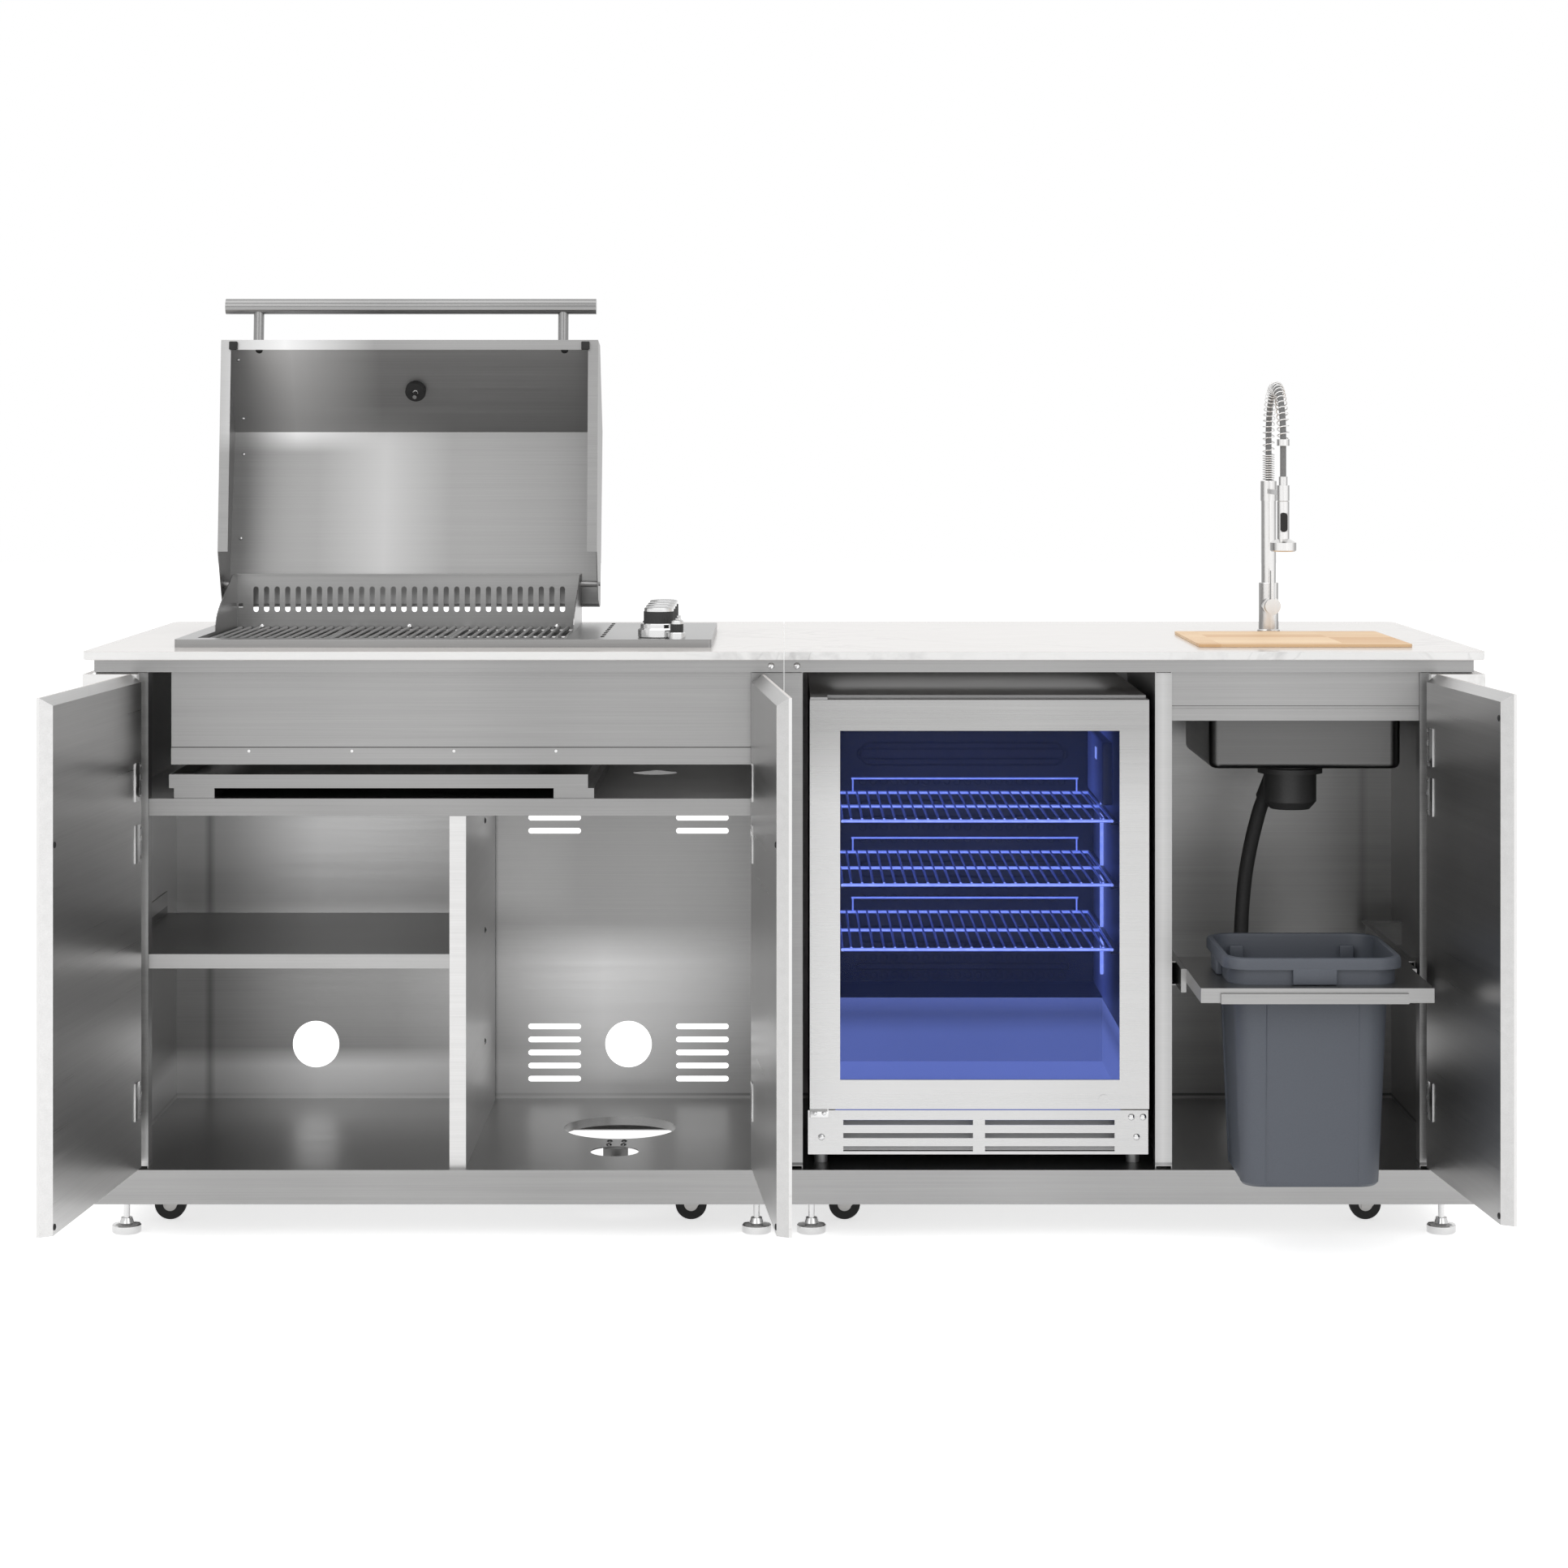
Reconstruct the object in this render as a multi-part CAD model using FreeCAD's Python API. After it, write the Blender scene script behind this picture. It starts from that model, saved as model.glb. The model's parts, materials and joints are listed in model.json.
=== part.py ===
import FreeCAD, Part
import math
import os
from FreeCAD import Vector

# Outdoor kitchen island: two steel cabinets on feet and casters under a stone worktop, with a
# drop-in gas grill, an under-counter refrigerator, a sink with a spring faucet and a pull-out bin.
# Millimetres. X runs to the right, Y from the front to the back and Z up from the ground.
# The doors stand open, the hood is up and the bin is pulled out, as the island is shown.

# Cabinets
CABINET_W = 1206.5
SEAM = 0.6
CABINET_D = 676.0
FOOT_H = 60.0
PLINTH_H = 60.0
OPENING_H = 871.0
BAND_H = 22.0
SHEET = 1.5
RAIL_T = 2.0
RAIL_FLANGE = 30.0
POST_SET = 14.0
POST_D = 36.0
END_POST_W = 92.0
LEFT_SEAM_POST_W = 57.5
RIGHT_SEAM_POST_W = 32.5
LINER_IN = 29.5
BACK_Y = 655.0
POST_FOOT_GAP = 4.0
POST_HEAD_GAP = 2.0

# Worktop
SLAB_T = 15.0
SLAB_FRONT = 18.0
SLAB_SIDE = 20.0
SLAB_D = 948.0
SLAB_CORNER_R = 24.0
SLAB_EDGE_R = 1.5
BAND_D = 912.0

# Refrigerator bay and the post beside it
FRIDGE_BAY_W = 618.0
BAY_POST_W = 29.5

# Back panels: pass-through holes and vents, each from the cabinet's middle
PANEL_HOLE_R = 45.0
PANEL_HOLE_X = 302.5
PANEL_HOLE_H = 105.0
VENT_W = 102.0
VENT_H = 11.0
VENT_PITCH = 25.3
VENT_ROWS = 5
VENT_X = (159.5, 445.5)
VENT_ROW_H = (88.6, 568.6)

# Gas bottle place in the left cabinet's floor
TANK_X = -304.0
TANK_Y = 373.0
TANK_R = 104.0
TANK_COLLAR_H = 16.0
STRAP_Y = 159.0
STRAP_R = 43.5
STRAP_BOLT_Y = (218.0, 250.0)
STRAP_BOLT_DX = 13.0
STRAP_PLATE_W = 45.0
STRAP_PLATE_Y = 196.0

# Doors
DOOR_IN_Y = 12.0
DOOR_PAN_T = 18.5
CLAD_T = 5.0
DOOR_BOTTOM_GAP = 8.0
DOOR_TOP_GAP = 3.0
DOOR_BEVEL = 13.0
DOOR_W = 536.0
SINK_DOOR_W = 456.0
END_OVERLAY = 12.0
SEAM_OVERLAY = 5.5
DOOR_OPEN_DEG = 95.0
HINGE_OUT = 9.9
HINGE_FORWARD = 16.0
HINGE_H = 66.0
HINGE_R = 5.0
HINGE_PIN_R = 2.5
HINGE_FIT = 0.05
HINGE_KNUCKLE_H = 20.0
HINGE_END_GAP = 0.4
HINGE_PLATE_IN = 13.0
HINGE_PLATE_W = 30.0
HINGE_PLATE_T = 1.7
LEAF_T = 1.7
GRILL_DOOR_HINGE_Z = (248.7, 696.0, 803.0)
SINK_DOOR_HINGE_Z = (248.7, 777.6, 863.5)
BUMPER_R = 4.5
BUMPER_T = 1.4
BUMPER_IN = 8.0
GRILL_DOOR_BUMPER_Z = (141.0, 752.0)
SINK_DOOR_BUMPER_Z = (141.0, 948.0)

# End cladding: a stone-look panel round each end of the island and its front corner
END_CLAD_T = 18.5
END_CLAD_FRONT_GAP = 1.0
PILASTER_GAP = 4.0
PILASTER_NOTCH = 12.0
NOTCH_CLEAR = 3.0

# Drop-in grill
GRILL_X0 = -1084.0
GRILL_X1 = -129.0
GRILL_Y0 = 97.0
GRILL_Y1 = 629.0
GRILL_H = 14.5
FIREBOX_X0 = -1052.0
FIREBOX_X1 = -388.0
FIREBOX_Y0 = 142.0
FIREBOX_Y1 = 604.0
FIREBOX_BOTTOM_Z = 836.0
CHEEK_TOP_Z = 1138.0
CHEEK_EDGE = (
    (346.0, 1054.0), (356.0, 1065.0), (370.0, 1074.0), (389.0, 1083.0), (409.0, 1091.0),
    (470.0, 1112.0), (520.0, 1127.0),
)
CHEEK_HEAD_Y = 546.0
REAR_PORT = 8.0
REAR_PORT_IN = 8.5
REAR_PORT_UP = 35.0
REAR_SLOT_N = 30
REAR_SLOT_PITCH = 20.3
REAR_SLOT_W = 10.0
REAR_SLOT_H = 49.0
REAR_SLOT_Z = 22.0
GREASE_SLOT_W = 520.0
GREASE_SLOT_D = 70.0
GRATE_ROD_R = 3.2
GRATE_PITCH = 17.4
GRATE_N = 3
GRATE_BARS = 13
GRATE_DROP = 5.0
GRATE_GAP = 2.0
GRATE_FRONT_ROOM = 3.0
GRATE_BACK_ROOM = 6.5
BURNER_R = 13.0
BURNER_Z = 905.0
BURNER_SHIFT = 19.0
MANIFOLD_Z = 905.0
VENTURI_R = 7.0
MANIFOLD_R = 9.0
VALVE_W = 28.0
VALVE_NECK_R = 7.0
STEM_R = 3.0
STEM_UP = 44.0

# Grill hood, its side outline given closed, and the pin that it turns on
HOOD_X0 = -1072.0
HOOD_X1 = -354.0
HOOD_T = 1.5
HOOD_RIM_D = 19.0
HOOD_PIN_Y = 565.0
HOOD_PIN_Z = 1120.0
HOOD_PIN_R = 6.0
HOOD_OPEN_DEG = 96.0
HOOD_OUTLINE = (
    (508.0, 1050.0), (104.0, 1050.0), (106.0, 1122.0), (262.0, 1230.0),
    (600.0, 1192.0), (606.0, 1174.0), (596.0, 1106.0),
)
BUMP_BLOCK = 15.0
BUMP_GAP = 0.5
BUMP_IN = 24.0
HANDLE_BAR_R = 15.0
HANDLE_LEN = 708.0
HANDLE_OFF = 67.0
HANDLE_UP = 24.0
HANDLE_POST_R = 10.0
HANDLE_POST_X = 291.0
GAUGE_R = 33.0
GAUGE_T = 16.0
GAUGE_NUT_R = 19.0
GAUGE_NUT_T = 12.0
GAUGE_STEM_R = 4.0

# Knobs stand on the panel to the right of the fire
KNOB_X = -224.6
KNOB_Y0 = 160.0
KNOB_PITCH = 87.0
KNOB_N = 4
BEZEL_R = 37.5
BEZEL_H = 17.5
BEZEL_STEP_R = 33.0
BEZEL_STEP_H = 8.0
KNOB_R = 27.3
KNOB_BAND_H = 21.0
KNOB_CAP_H = 7.9
KNOB_LIFT = 0.4
IGNITER_X = -191.0
IGNITER_Y = 114.0
IGNITER_R = 11.6
IGNITER_BASE_R = 15.3
IGNITER_BASE_H = 11.8
IGNITER_BAND_H = 14.7
IGNITER_CAP_H = 6.7
IGNITER_FIT = 0.2
IGNITER_TRAVEL = 4.0
PANEL_VENT_N = 8
PANEL_VENT_X = -327.0
PANEL_VENT_Y0 = 182.0
PANEL_VENT_PITCH = 57.7
PANEL_VENT_W = 7.0
PANEL_VENT_L = 42.0

# Shelves, drip tray and aprons
HEAT_SHELF_Z = 768.0
SHELF_LIP = 30.0
SHELF_FRONT_Y = 18.0
HEAT_HOLE = (-243.0, 483.0, 42.0)
TRAY_RAIL_H = 18.0
TRAY_RAIL_W = 71.0
TRAY_RAIL_X = (-1071.0, -404.5)
TRAY_X0 = -1079.0
TRAY_X1 = -344.0
TRAY_H = 24.0
TRAY_D = 540.0
TRAY_T = 1.2
TRAY_LIFT = 0.3
HALF_SHELF_Z = 495.0
HALF_SHELF_LIP = 25.0
HALF_SHELF_D = 525.0
HALF_SHELF_UPSTAND = 41.0
DIVIDER_X0 = -587.0
DIVIDER_W = 29.0
DIVIDER_BACK_Y = 640.0
APRON_SET = 5.0
APRON_STEP = 3.0
GRILL_APRON_X0 = -1075.0
GRILL_APRON_Z = 858.0
GRILL_STRIP_H = 30.0
SINK_APRON_Z = 930.5
SINK_RAIL_Z = 904.5
SINK_RAIL_TOP = 925.5

# Sink, drain and cutting board
SINK_X = 929.0
SINK_Y = 305.0
SINK_W = 341.0
SINK_D = 392.0
SINK_DEPTH = 202.0
SINK_T = 1.2
SINK_R = 20.0
SINK_LIP = 17.0
SINK_REVEAL = 5.0
DRAIN_HOLE_R = 44.0
DRAIN_FLANGE_R = 59.0
DRAIN_FLANGE_H = 9.0
DRAIN_NECK_H = 16.0
TRAP_R = 48.0
TRAP_H = 66.0
TRAP_T = 2.5
OUTLET_R = 16.0
OUTLET_L = 58.0
HOSE_R = 13.2
HOSE_BORE_R = 10.8
HOSE_POINTS = (
    (888.0, 349.3, 735.3), (881.0, 361.0, 712.0), (869.0, 381.0, 654.0),
    (859.0, 395.0, 590.0), (854.0, 404.0, 522.0), (851.5, 408.0, 448.0),
    (851.5, 408.0, 112.0),
)
BOARD_W = 380.0
BOARD_D = 401.0
BOARD_PROUD = 5.0
BOARD_DEEP = 14.0
BOARD_R = 8.0
BOARD_CLEAR = 2.0

# Spring faucet behind the sink
FAUCET_X = 928.0
FAUCET_Y = 581.0
FAUCET_FLANGE_R = 21.5
FAUCET_FLANGE_H = 5.0
FAUCET_BODY_R = 19.0
FAUCET_BODY_Z = 1122.5
FAUCET_TUBE_R = 14.0
FAUCET_COLLAR_Z = 1278.6
FAUCET_COLLAR_R = 15.2
FAUCET_COLLAR_TOP_Z = 1317.0
FAUCET_SPIGOT_R = 11.0
FAUCET_SPIGOT_L = 40.0
FAUCET_FIT = 0.05
FAUCET_GAP = 0.3
SHANK_R = 15.0
SHANK_NUT_R = 26.0
SHANK_NUT_H = 12.0
SHANK_CLEAR = 2.0
ARCH_R = 98.0
ARCH_Z = 1397.0
COIL_R = 10.5
COIL_WIRE_R = 1.1
COIL_POINT_STEP = 1.0
DENSE_TURNS = 11
DENSE_PITCH = 4.4
OPEN_PITCH = 12.0
SPRAY_HOSE_R = 5.75
END_RING_R = 11.6
END_RING_H = 12.0
DOCK_Z = (1282.8, 1311.4)
DOCK_R = 11.6
DOCK_BORE_R = 8.3
DOCK_ARM_W = 9.0
HEAD_TOP_Z = 1327.6
HEAD_NECK_R = 8.0
HEAD_R = 11.3
HEAD_SHOULDER_Z = 1282.4
HEAD_CONE_Z = 1212.0
HEAD_DISC_Z = 1205.0
HEAD_DISC_R = 24.4
HEAD_BOTTOM_Z = 1188.6
HEAD_BORE_CLEAR = 0.15
HEAD_BORE_DEPTH = 56.0
SPRAY_BUTTON_W = 13.0
SPRAY_BUTTON_Z = (1225.1, 1260.7)
SPRAY_BUTTON_PROUD = 2.2
SPRAY_BUTTON_IN = 4.0
SPRAY_BUTTON_FIT = 0.1
SPRAY_BUTTON_TRAVEL = 1.5
LEVER_Z = 1079.0
LEVER_BOSS_R = 16.0
LEVER_BOSS_Y = 542.0
LEVER_DISC_R = 17.0
LEVER_DISC_Y = 534.0
LEVER_STICK_R = 4.4
LEVER_TOP_Z = 1147.0
LEVER_PIN_R = 5.0
LEVER_PIN_L = 14.0

# Refrigerator
FRIDGE_X0 = 45.0
FRIDGE_X1 = 637.6
FRIDGE_BOTTOM_Z = 147.0
FRIDGE_TOP_Z = 948.0
FRIDGE_BODY_Y0 = 38.0
FRIDGE_BODY_Y1 = 622.0
FRIDGE_SKIN = 1.5
FRIDGE_WALL = 45.0
FRIDGE_CAVITY_Z = (240.0, 905.0)
FRIDGE_CAVITY_D = 534.0
FRIDGE_STEP_Z = 360.0
FRIDGE_STEP_D = 184.0
FRIDGE_DOOR_Y0 = -12.0
FRIDGE_DOOR_T = 47.0
FRIDGE_DOOR_Z = (229.0, 943.5)
FRIDGE_GLASS_X = (98.0, 586.0)
FRIDGE_GLASS_Z = (280.0, 889.5)
FRIDGE_GLASS_REBATE = 8.0
FRIDGE_GLASS_T = 18.0
FRIDGE_PANE_T = 4.0
FRIDGE_GLASS_SET = 5.0
FRIDGE_SEAL_IN = 15.0
FRIDGE_SEAL_T = 2.7
FRIDGE_SEAL_W = 12.0
FRIDGE_HINGE_X = 57.0
FRIDGE_HINGE_Y = -2.0
FRIDGE_PIN_R = 4.0
FRIDGE_PIN_FIT = 0.05
FRIDGE_PIN_L = 12.0
FRIDGE_HINGE_W = 30.0
FRIDGE_LEAF_T = 4.0
FRIDGE_LEAF_BACK = 11.0
FRIDGE_LEAF_GAP = 0.5
FRIDGE_FOOT_R = 12.0
FRIDGE_FOOT_IN = 19.0
FRIDGE_LEDGE_T = 4.0
SHELF_WIRE_R = 2.0
SHELF_FRAME_R = 3.0
SHELF_WIRE_PITCH = 19.35
SHELF_WIRE_N = 24
FRIDGE_SHELF_Z = (497.0, 611.0, 724.0)
FRIDGE_SHELF_D = 480.0
FRIDGE_SHELF_Y0 = 60.0
FRIDGE_GUARD_H = 27.0
FRIDGE_GUARD_X = (131.0, 557.0)
KICK_Z = (146.7, 224.0)
KICK_Y0 = 4.0
KICK_T = 1.5
KICK_SLOT_W = 227.0
KICK_SLOT_H = 9.0
KICK_SLOT_PITCH = 23.0
KICK_SLOT_ROWS = 3
KICK_SLOT_GAP = 21.0
KICK_SLOT_TOP = 207.0
LOCK_X = 558.0
LOCK_Z = 246.0
LOCK_R = 8.5
LOCK_PROUD = 1.2

# Pull-out bin
BIN_X = 898.0
BIN_Y = -55.0
CARRIER_W = 393.0
CARRIER_Y0 = -235.0
CARRIER_D = 350.0
CARRIER_Z = 475.6
CARRIER_LIP = 24.6
GRIP_X = (-163.0, 153.0)
GRIP_T = 7.0
GRIP_H = 17.0
GRIP_DROP = 8.5
BIN_TOP_Z = 522.0
BIN_BOTTOM_Z = 127.0
BIN_RIM_W = 305.0
BIN_RIM_D = 304.0
BIN_RIM_H = 20.0
BIN_TOP_W = 264.0
BIN_FOOT_W = 236.0
BIN_NECK_W = 286.0
BIN_T = 2.5
BIN_R = 34.0
BIN_FIT = 0.3
SLIDE_T = 12.0
SLIDE_H = 42.0
SLIDE_L = 520.0
SLIDE_Y0 = 62.0
SLIDE_GAP = 0.3
SLIDE_BRACKET_Y = (70.0, 540.0)
SLIDE_BRACKET_D = 30.0
RUNNER_T = 9.0
RUNNER_H = 41.0
RUNNER_FRONT_Y = -20.0
RUNNER_BACK_Y = 305.0

# Feet and casters
FOOT_IN = 48.0
FOOT_PAD_R = 25.6
FOOT_PAD_H = 16.0
FOOT_CONE_H = 11.0
FOOT_NUT_R = 10.0
FOOT_NUT_H = 9.0
FOOT_STEM_R = 5.5
FOOT_STEM_TOP = 82.0
FOOT_HOLE_GAP = 0.3
CORNER_PLATE = 92.0
CASTER_IN = 137.0
CASTER_Y = 151.0
CASTER_TRAIL = 29.0
CASTER_WHEEL_R = 28.0
CASTER_WHEEL_T = 20.0
CASTER_LIFT = 1.5
CASTER_AXLE_R = 3.0
CASTER_FIT = 0.05
CASTER_PLATE = 64.0
CASTER_PLATE_Z = 72.0
CASTER_PLATE_T = 3.0
CASTER_RACE_R = 19.0
CASTER_CHEEK_T = 2.5
CASTER_SIDE_GAP = 2.0
REAR_CASTER_TURN = -90.0

# Dome bolts
BOLT_R = 6.0
BOLT_HEAD_H = 3.2
BOLT_SHANK_R = 2.5
BOLT_SHANK_L = 8.0
BAND_BOLT_X = 22.7
STRIP_BOLT_X = (-938.6, -758.0, -579.0, -400.0)
STRIP_BOLT_Z = 851.5
DIVIDER_BOLT_Y = 407.6
DIVIDER_BOLT_Z = (273.8, 481.3, 685.7)
REAR_BOLT_X = 284.0
REAR_BOLT_DROP = 6.5
KICK_BOLT_IN = 20.5
KICK_BOLT_Z = 177.0
KICK_PAIR_X = (608.0, 628.5)
KICK_PAIR_Z = 212.0

# Places that follow from the sizes above
CAB_X0 = SEAM / 2
CAB_X1 = CAB_X0 + CABINET_W
CAB_MID = (CAB_X0 + CAB_X1) / 2
FLOOR_Z = FOOT_H + PLINTH_H
BAND_Z = FLOOR_Z + OPENING_H
SLAB_Z = BAND_Z + BAND_H
TOP_Z = SLAB_Z + SLAB_T
GRILL_Z = TOP_Z + GRILL_H
END_LINER_X = CAB_X1 - LINER_IN - SHEET
SEAM_LINER_X = CAB_X0 + LINER_IN
OPENING_X1 = CAB_X1 - END_POST_W
LEFT_OPENING_X0 = CAB_X0 + LEFT_SEAM_POST_W
BAY_X0 = CAB_X0 + RIGHT_SEAM_POST_W
BAY_X1 = BAY_X0 + FRIDGE_BAY_W
SINK_BAY_X0 = BAY_X1 + BAY_POST_W
PARTITION_X = BAY_X1 + (BAY_POST_W - SHEET) / 2
DOOR_FRONT_Y = DOOR_IN_Y - DOOR_PAN_T - CLAD_T
DOOR_Z0 = FLOOR_Z + DOOR_BOTTOM_GAP
DOOR_Z1 = BAND_Z - DOOR_TOP_GAP
PIVOT_Y = DOOR_IN_Y - HINGE_FORWARD
END_HINGE_X = OPENING_X1 + END_OVERLAY
SEAM_HINGE_X = LEFT_OPENING_X0 - SEAM_OVERLAY
KNOB_Y = [KNOB_Y0 + i * KNOB_PITCH for i in range(KNOB_N)]
CASTER_AXLE_Z = CASTER_WHEEL_R + CASTER_LIFT
SPOUT_Y = FAUCET_Y - 2 * ARCH_R
STRIP_Y = POST_SET + APRON_SET - APRON_STEP
FRIDGE_BODY_X0 = FRIDGE_X0 + 1
FRIDGE_BODY_X1 = FRIDGE_X1 - 1
BIN_SLIDE_Z = CARRIER_Z - SLIDE_H / 2

# Bolts: each one's seat and the way that its head faces
FRONT = (0, -1, 0)
UP = (0, 0, 1)
RIGHT = (1, 0, 0)
BAND_BOLTS = [((side * BAND_BOLT_X, 0, (BAND_Z + SLAB_Z) / 2), FRONT) for side in (-1, 1)]
STRIP_BOLTS = [((x, STRIP_Y, STRIP_BOLT_Z), FRONT) for x in STRIP_BOLT_X]
CLAMP_BOLTS = [((TANK_X + side * STRAP_BOLT_DX, y, FLOOR_Z), UP) for side in (-1, 1) for y in STRAP_BOLT_Y]
DIVIDER_BOLTS = [((DIVIDER_X0 + DIVIDER_W, DIVIDER_BOLT_Y, z), RIGHT) for z in DIVIDER_BOLT_Z]
FIREBOX_X = (FIREBOX_X0 + FIREBOX_X1) / 2
REAR_BOLTS = [((FIREBOX_X + i * REAR_BOLT_X, FIREBOX_Y1 - SHEET, GRILL_Z - REAR_BOLT_DROP), FRONT)
              for i in (-1, 0, 1)]
KICK_BOLTS = [((x, KICK_Y0, KICK_BOLT_Z), FRONT)
              for x in (FRIDGE_X0 + KICK_BOLT_IN, FRIDGE_X1 - KICK_BOLT_IN)]
KICK_BOLTS += [((x, KICK_Y0, KICK_PAIR_Z), FRONT) for x in KICK_PAIR_X]


def box(x0, x1, y0, y1, z0, z1):
    corner = Vector(min(x0, x1), min(y0, y1), min(z0, z1))
    return Part.makeBox(abs(x1 - x0), abs(y1 - y0), abs(z1 - z0), corner)


def rod(radius, start, end):
    start, end = Vector(*start), Vector(*end)
    return Part.makeCylinder(radius, start.distanceToPoint(end), start, end - start)


def cone(radius0, radius1, start, end):
    start, end = Vector(*start), Vector(*end)
    return Part.makeCone(radius0, radius1, start.distanceToPoint(end), start, end - start)


def fuse(shapes):
    shapes = list(shapes)
    whole = shapes[0].multiFuse(shapes[1:]) if len(shapes) > 1 else shapes[0]
    return whole.removeSplitter()


def cut(shape, tools):
    return shape.cut(list(tools)).removeSplitter()


def group(shapes):
    return Part.makeCompound(list(shapes))


def mirrored(shape):
    return shape.mirror(Vector(0, 0, 0), Vector(1, 0, 0))


def turned(shape, centre, axis, degrees):
    copy = shape.copy()
    copy.rotate(Vector(*centre), Vector(*axis), degrees)
    return copy


def profile_x(points, x0, x1):
    """A solid whose outline in Y and Z runs from x0 to x1."""
    corners = [Vector(x0, y, z) for y, z in points]
    face = Part.Face(Part.makePolygon(corners + corners[:1]))
    return face.extrude(Vector(x1 - x0, 0, 0))


def rounded_outline(x0, x1, y0, y1, z, radius):
    """A closed wire: a rectangle at height z with round corners."""
    r = min(radius, (x1 - x0) / 2 - 0.01, (y1 - y0) / 2 - 0.01)
    k = r * (1 - math.sqrt(0.5))
    edges = []
    sides = (
        ((x0 + r, y0), (x1 - r, y0), (x1 - k, y0 + k), (x1, y0 + r)),
        ((x1, y0 + r), (x1, y1 - r), (x1 - k, y1 - k), (x1 - r, y1)),
        ((x1 - r, y1), (x0 + r, y1), (x0 + k, y1 - k), (x0, y1 - r)),
        ((x0, y1 - r), (x0, y0 + r), (x0 + k, y0 + k), (x0 + r, y0)),
    )
    for start, stop, middle, end in sides:
        points = [Vector(px, py, z) for px, py in (start, stop, middle, end)]
        edges.append(Part.makeLine(points[0], points[1]))
        edges.append(Part.Arc(points[1], points[2], points[3]).toShape())
    return Part.Wire(edges)


def rounded_block(x0, x1, y0, y1, z0, z1, radius):
    face = Part.Face(rounded_outline(x0, x1, y0, y1, z0, radius))
    return face.extrude(Vector(0, 0, z1 - z0))


def revolved(outline, x, y):
    """A solid turned about the vertical line through x, y; the outline lists radius and height."""
    corners = [Vector(x + r, y, z) for r, z in outline]
    face = Part.Face(Part.makePolygon(corners + corners[:1]))
    return face.revolve(Vector(x, y, 0), Vector(0, 0, 1), 360)


def upright_slot(x, y0, y1, z0, z1, r):
    """The tools for a round-ended slot that stands upright in a wall."""
    ends = [rod(r, (x, y0, z), (x, y1, z)) for z in (z0 + r, z1 - r)]
    return [box(x - r, x + r, y0, y1, z0 + r, z1 - r)] + ends


def flat_slot(x0, x1, y0, y1, z, r):
    """The tools for a round-ended slot that lies level in a wall."""
    ends = [rod(r, (x, y0, z), (x, y1, z)) for x in (x0 + r, x1 - r)]
    return [box(x0 + r, x1 - r, y0, y1, z - r, z + r)] + ends


def bolt_holes(bolts):
    return [Part.makeCylinder(BOLT_SHANK_R, 12, Vector(*seat) + Vector(*way) * 2, Vector(*way) * -1)
            for seat, way in bolts]


def dome_bolt(seat, way):
    """A round-headed bolt whose head sits on the face at its seat and points along its way."""
    seat, out = Vector(*seat), Vector(*way)
    shank = Part.makeCylinder(BOLT_SHANK_R, BOLT_SHANK_L, seat, out * -1)
    cap_r = (BOLT_R ** 2 + BOLT_HEAD_H ** 2) / (2 * BOLT_HEAD_H)
    ball = Part.makeSphere(cap_r, seat - out * (cap_r - BOLT_HEAD_H))
    head = ball.common(Part.makeCylinder(BOLT_R, BOLT_HEAD_H, seat, out))
    return head.fuse(shank).removeSplitter()


# Cabinet frames

def base_tray(x0, x1):
    """The folded plinth and floor of one cabinet: a tray upside down with a turned-in foot."""
    tray = box(x0, x1, 0, CABINET_D, FOOT_H, FLOOR_Z)
    hollow = box(x0 + RAIL_T, x1 - RAIL_T, RAIL_T, CABINET_D - RAIL_T, FOOT_H + RAIL_T, FLOOR_Z - RAIL_T)
    mouth = box(x0 + RAIL_FLANGE, x1 - RAIL_FLANGE, RAIL_FLANGE, CABINET_D - RAIL_FLANGE, FOOT_H,
                FLOOR_Z - RAIL_T)
    tray = cut(tray, [hollow, mouth])
    pieces = [tray]
    holes = []
    for fx, fy in foot_places(x0, x1):
        sx = 1 if fx < (x0 + x1) / 2 else -1
        sy = 1 if fy < CABINET_D / 2 else -1
        edge_x = x0 if sx > 0 else x1
        edge_y = 0 if sy > 0 else CABINET_D
        pieces.append(box(edge_x, edge_x + sx * CORNER_PLATE, edge_y, edge_y + sy * CORNER_PLATE,
                          FOOT_H, FOOT_H + RAIL_T))
        holes.append(rod(FOOT_STEM_R + FOOT_HOLE_GAP, (fx, fy, FOOT_H - 1), (fx, fy, FOOT_H + RAIL_T + 1)))
    for cx, cy in caster_places(x0, x1):
        half = CASTER_PLATE / 2
        pieces.append(box(cx - half, cx + half, cy - half, cy + half, CASTER_PLATE_Z,
                          CASTER_PLATE_Z + RAIL_T))
        for side in (-1, 1):
            web = cy + side * half
            pieces.append(box(cx - half, cx + half, web, web - side * RAIL_T, CASTER_PLATE_Z,
                              FLOOR_Z - RAIL_T))
    return cut(fuse(pieces), holes)


def foot_places(x0, x1):
    return [(x, y) for x in (x0 + FOOT_IN, x1 - FOOT_IN) for y in (FOOT_IN, CABINET_D - FOOT_IN)]


def caster_places(x0, x1):
    return [(x, y) for x in (x0 + CASTER_IN, x1 - CASTER_IN)
            for y in (CASTER_Y, CABINET_D - CASTER_Y)]


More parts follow.
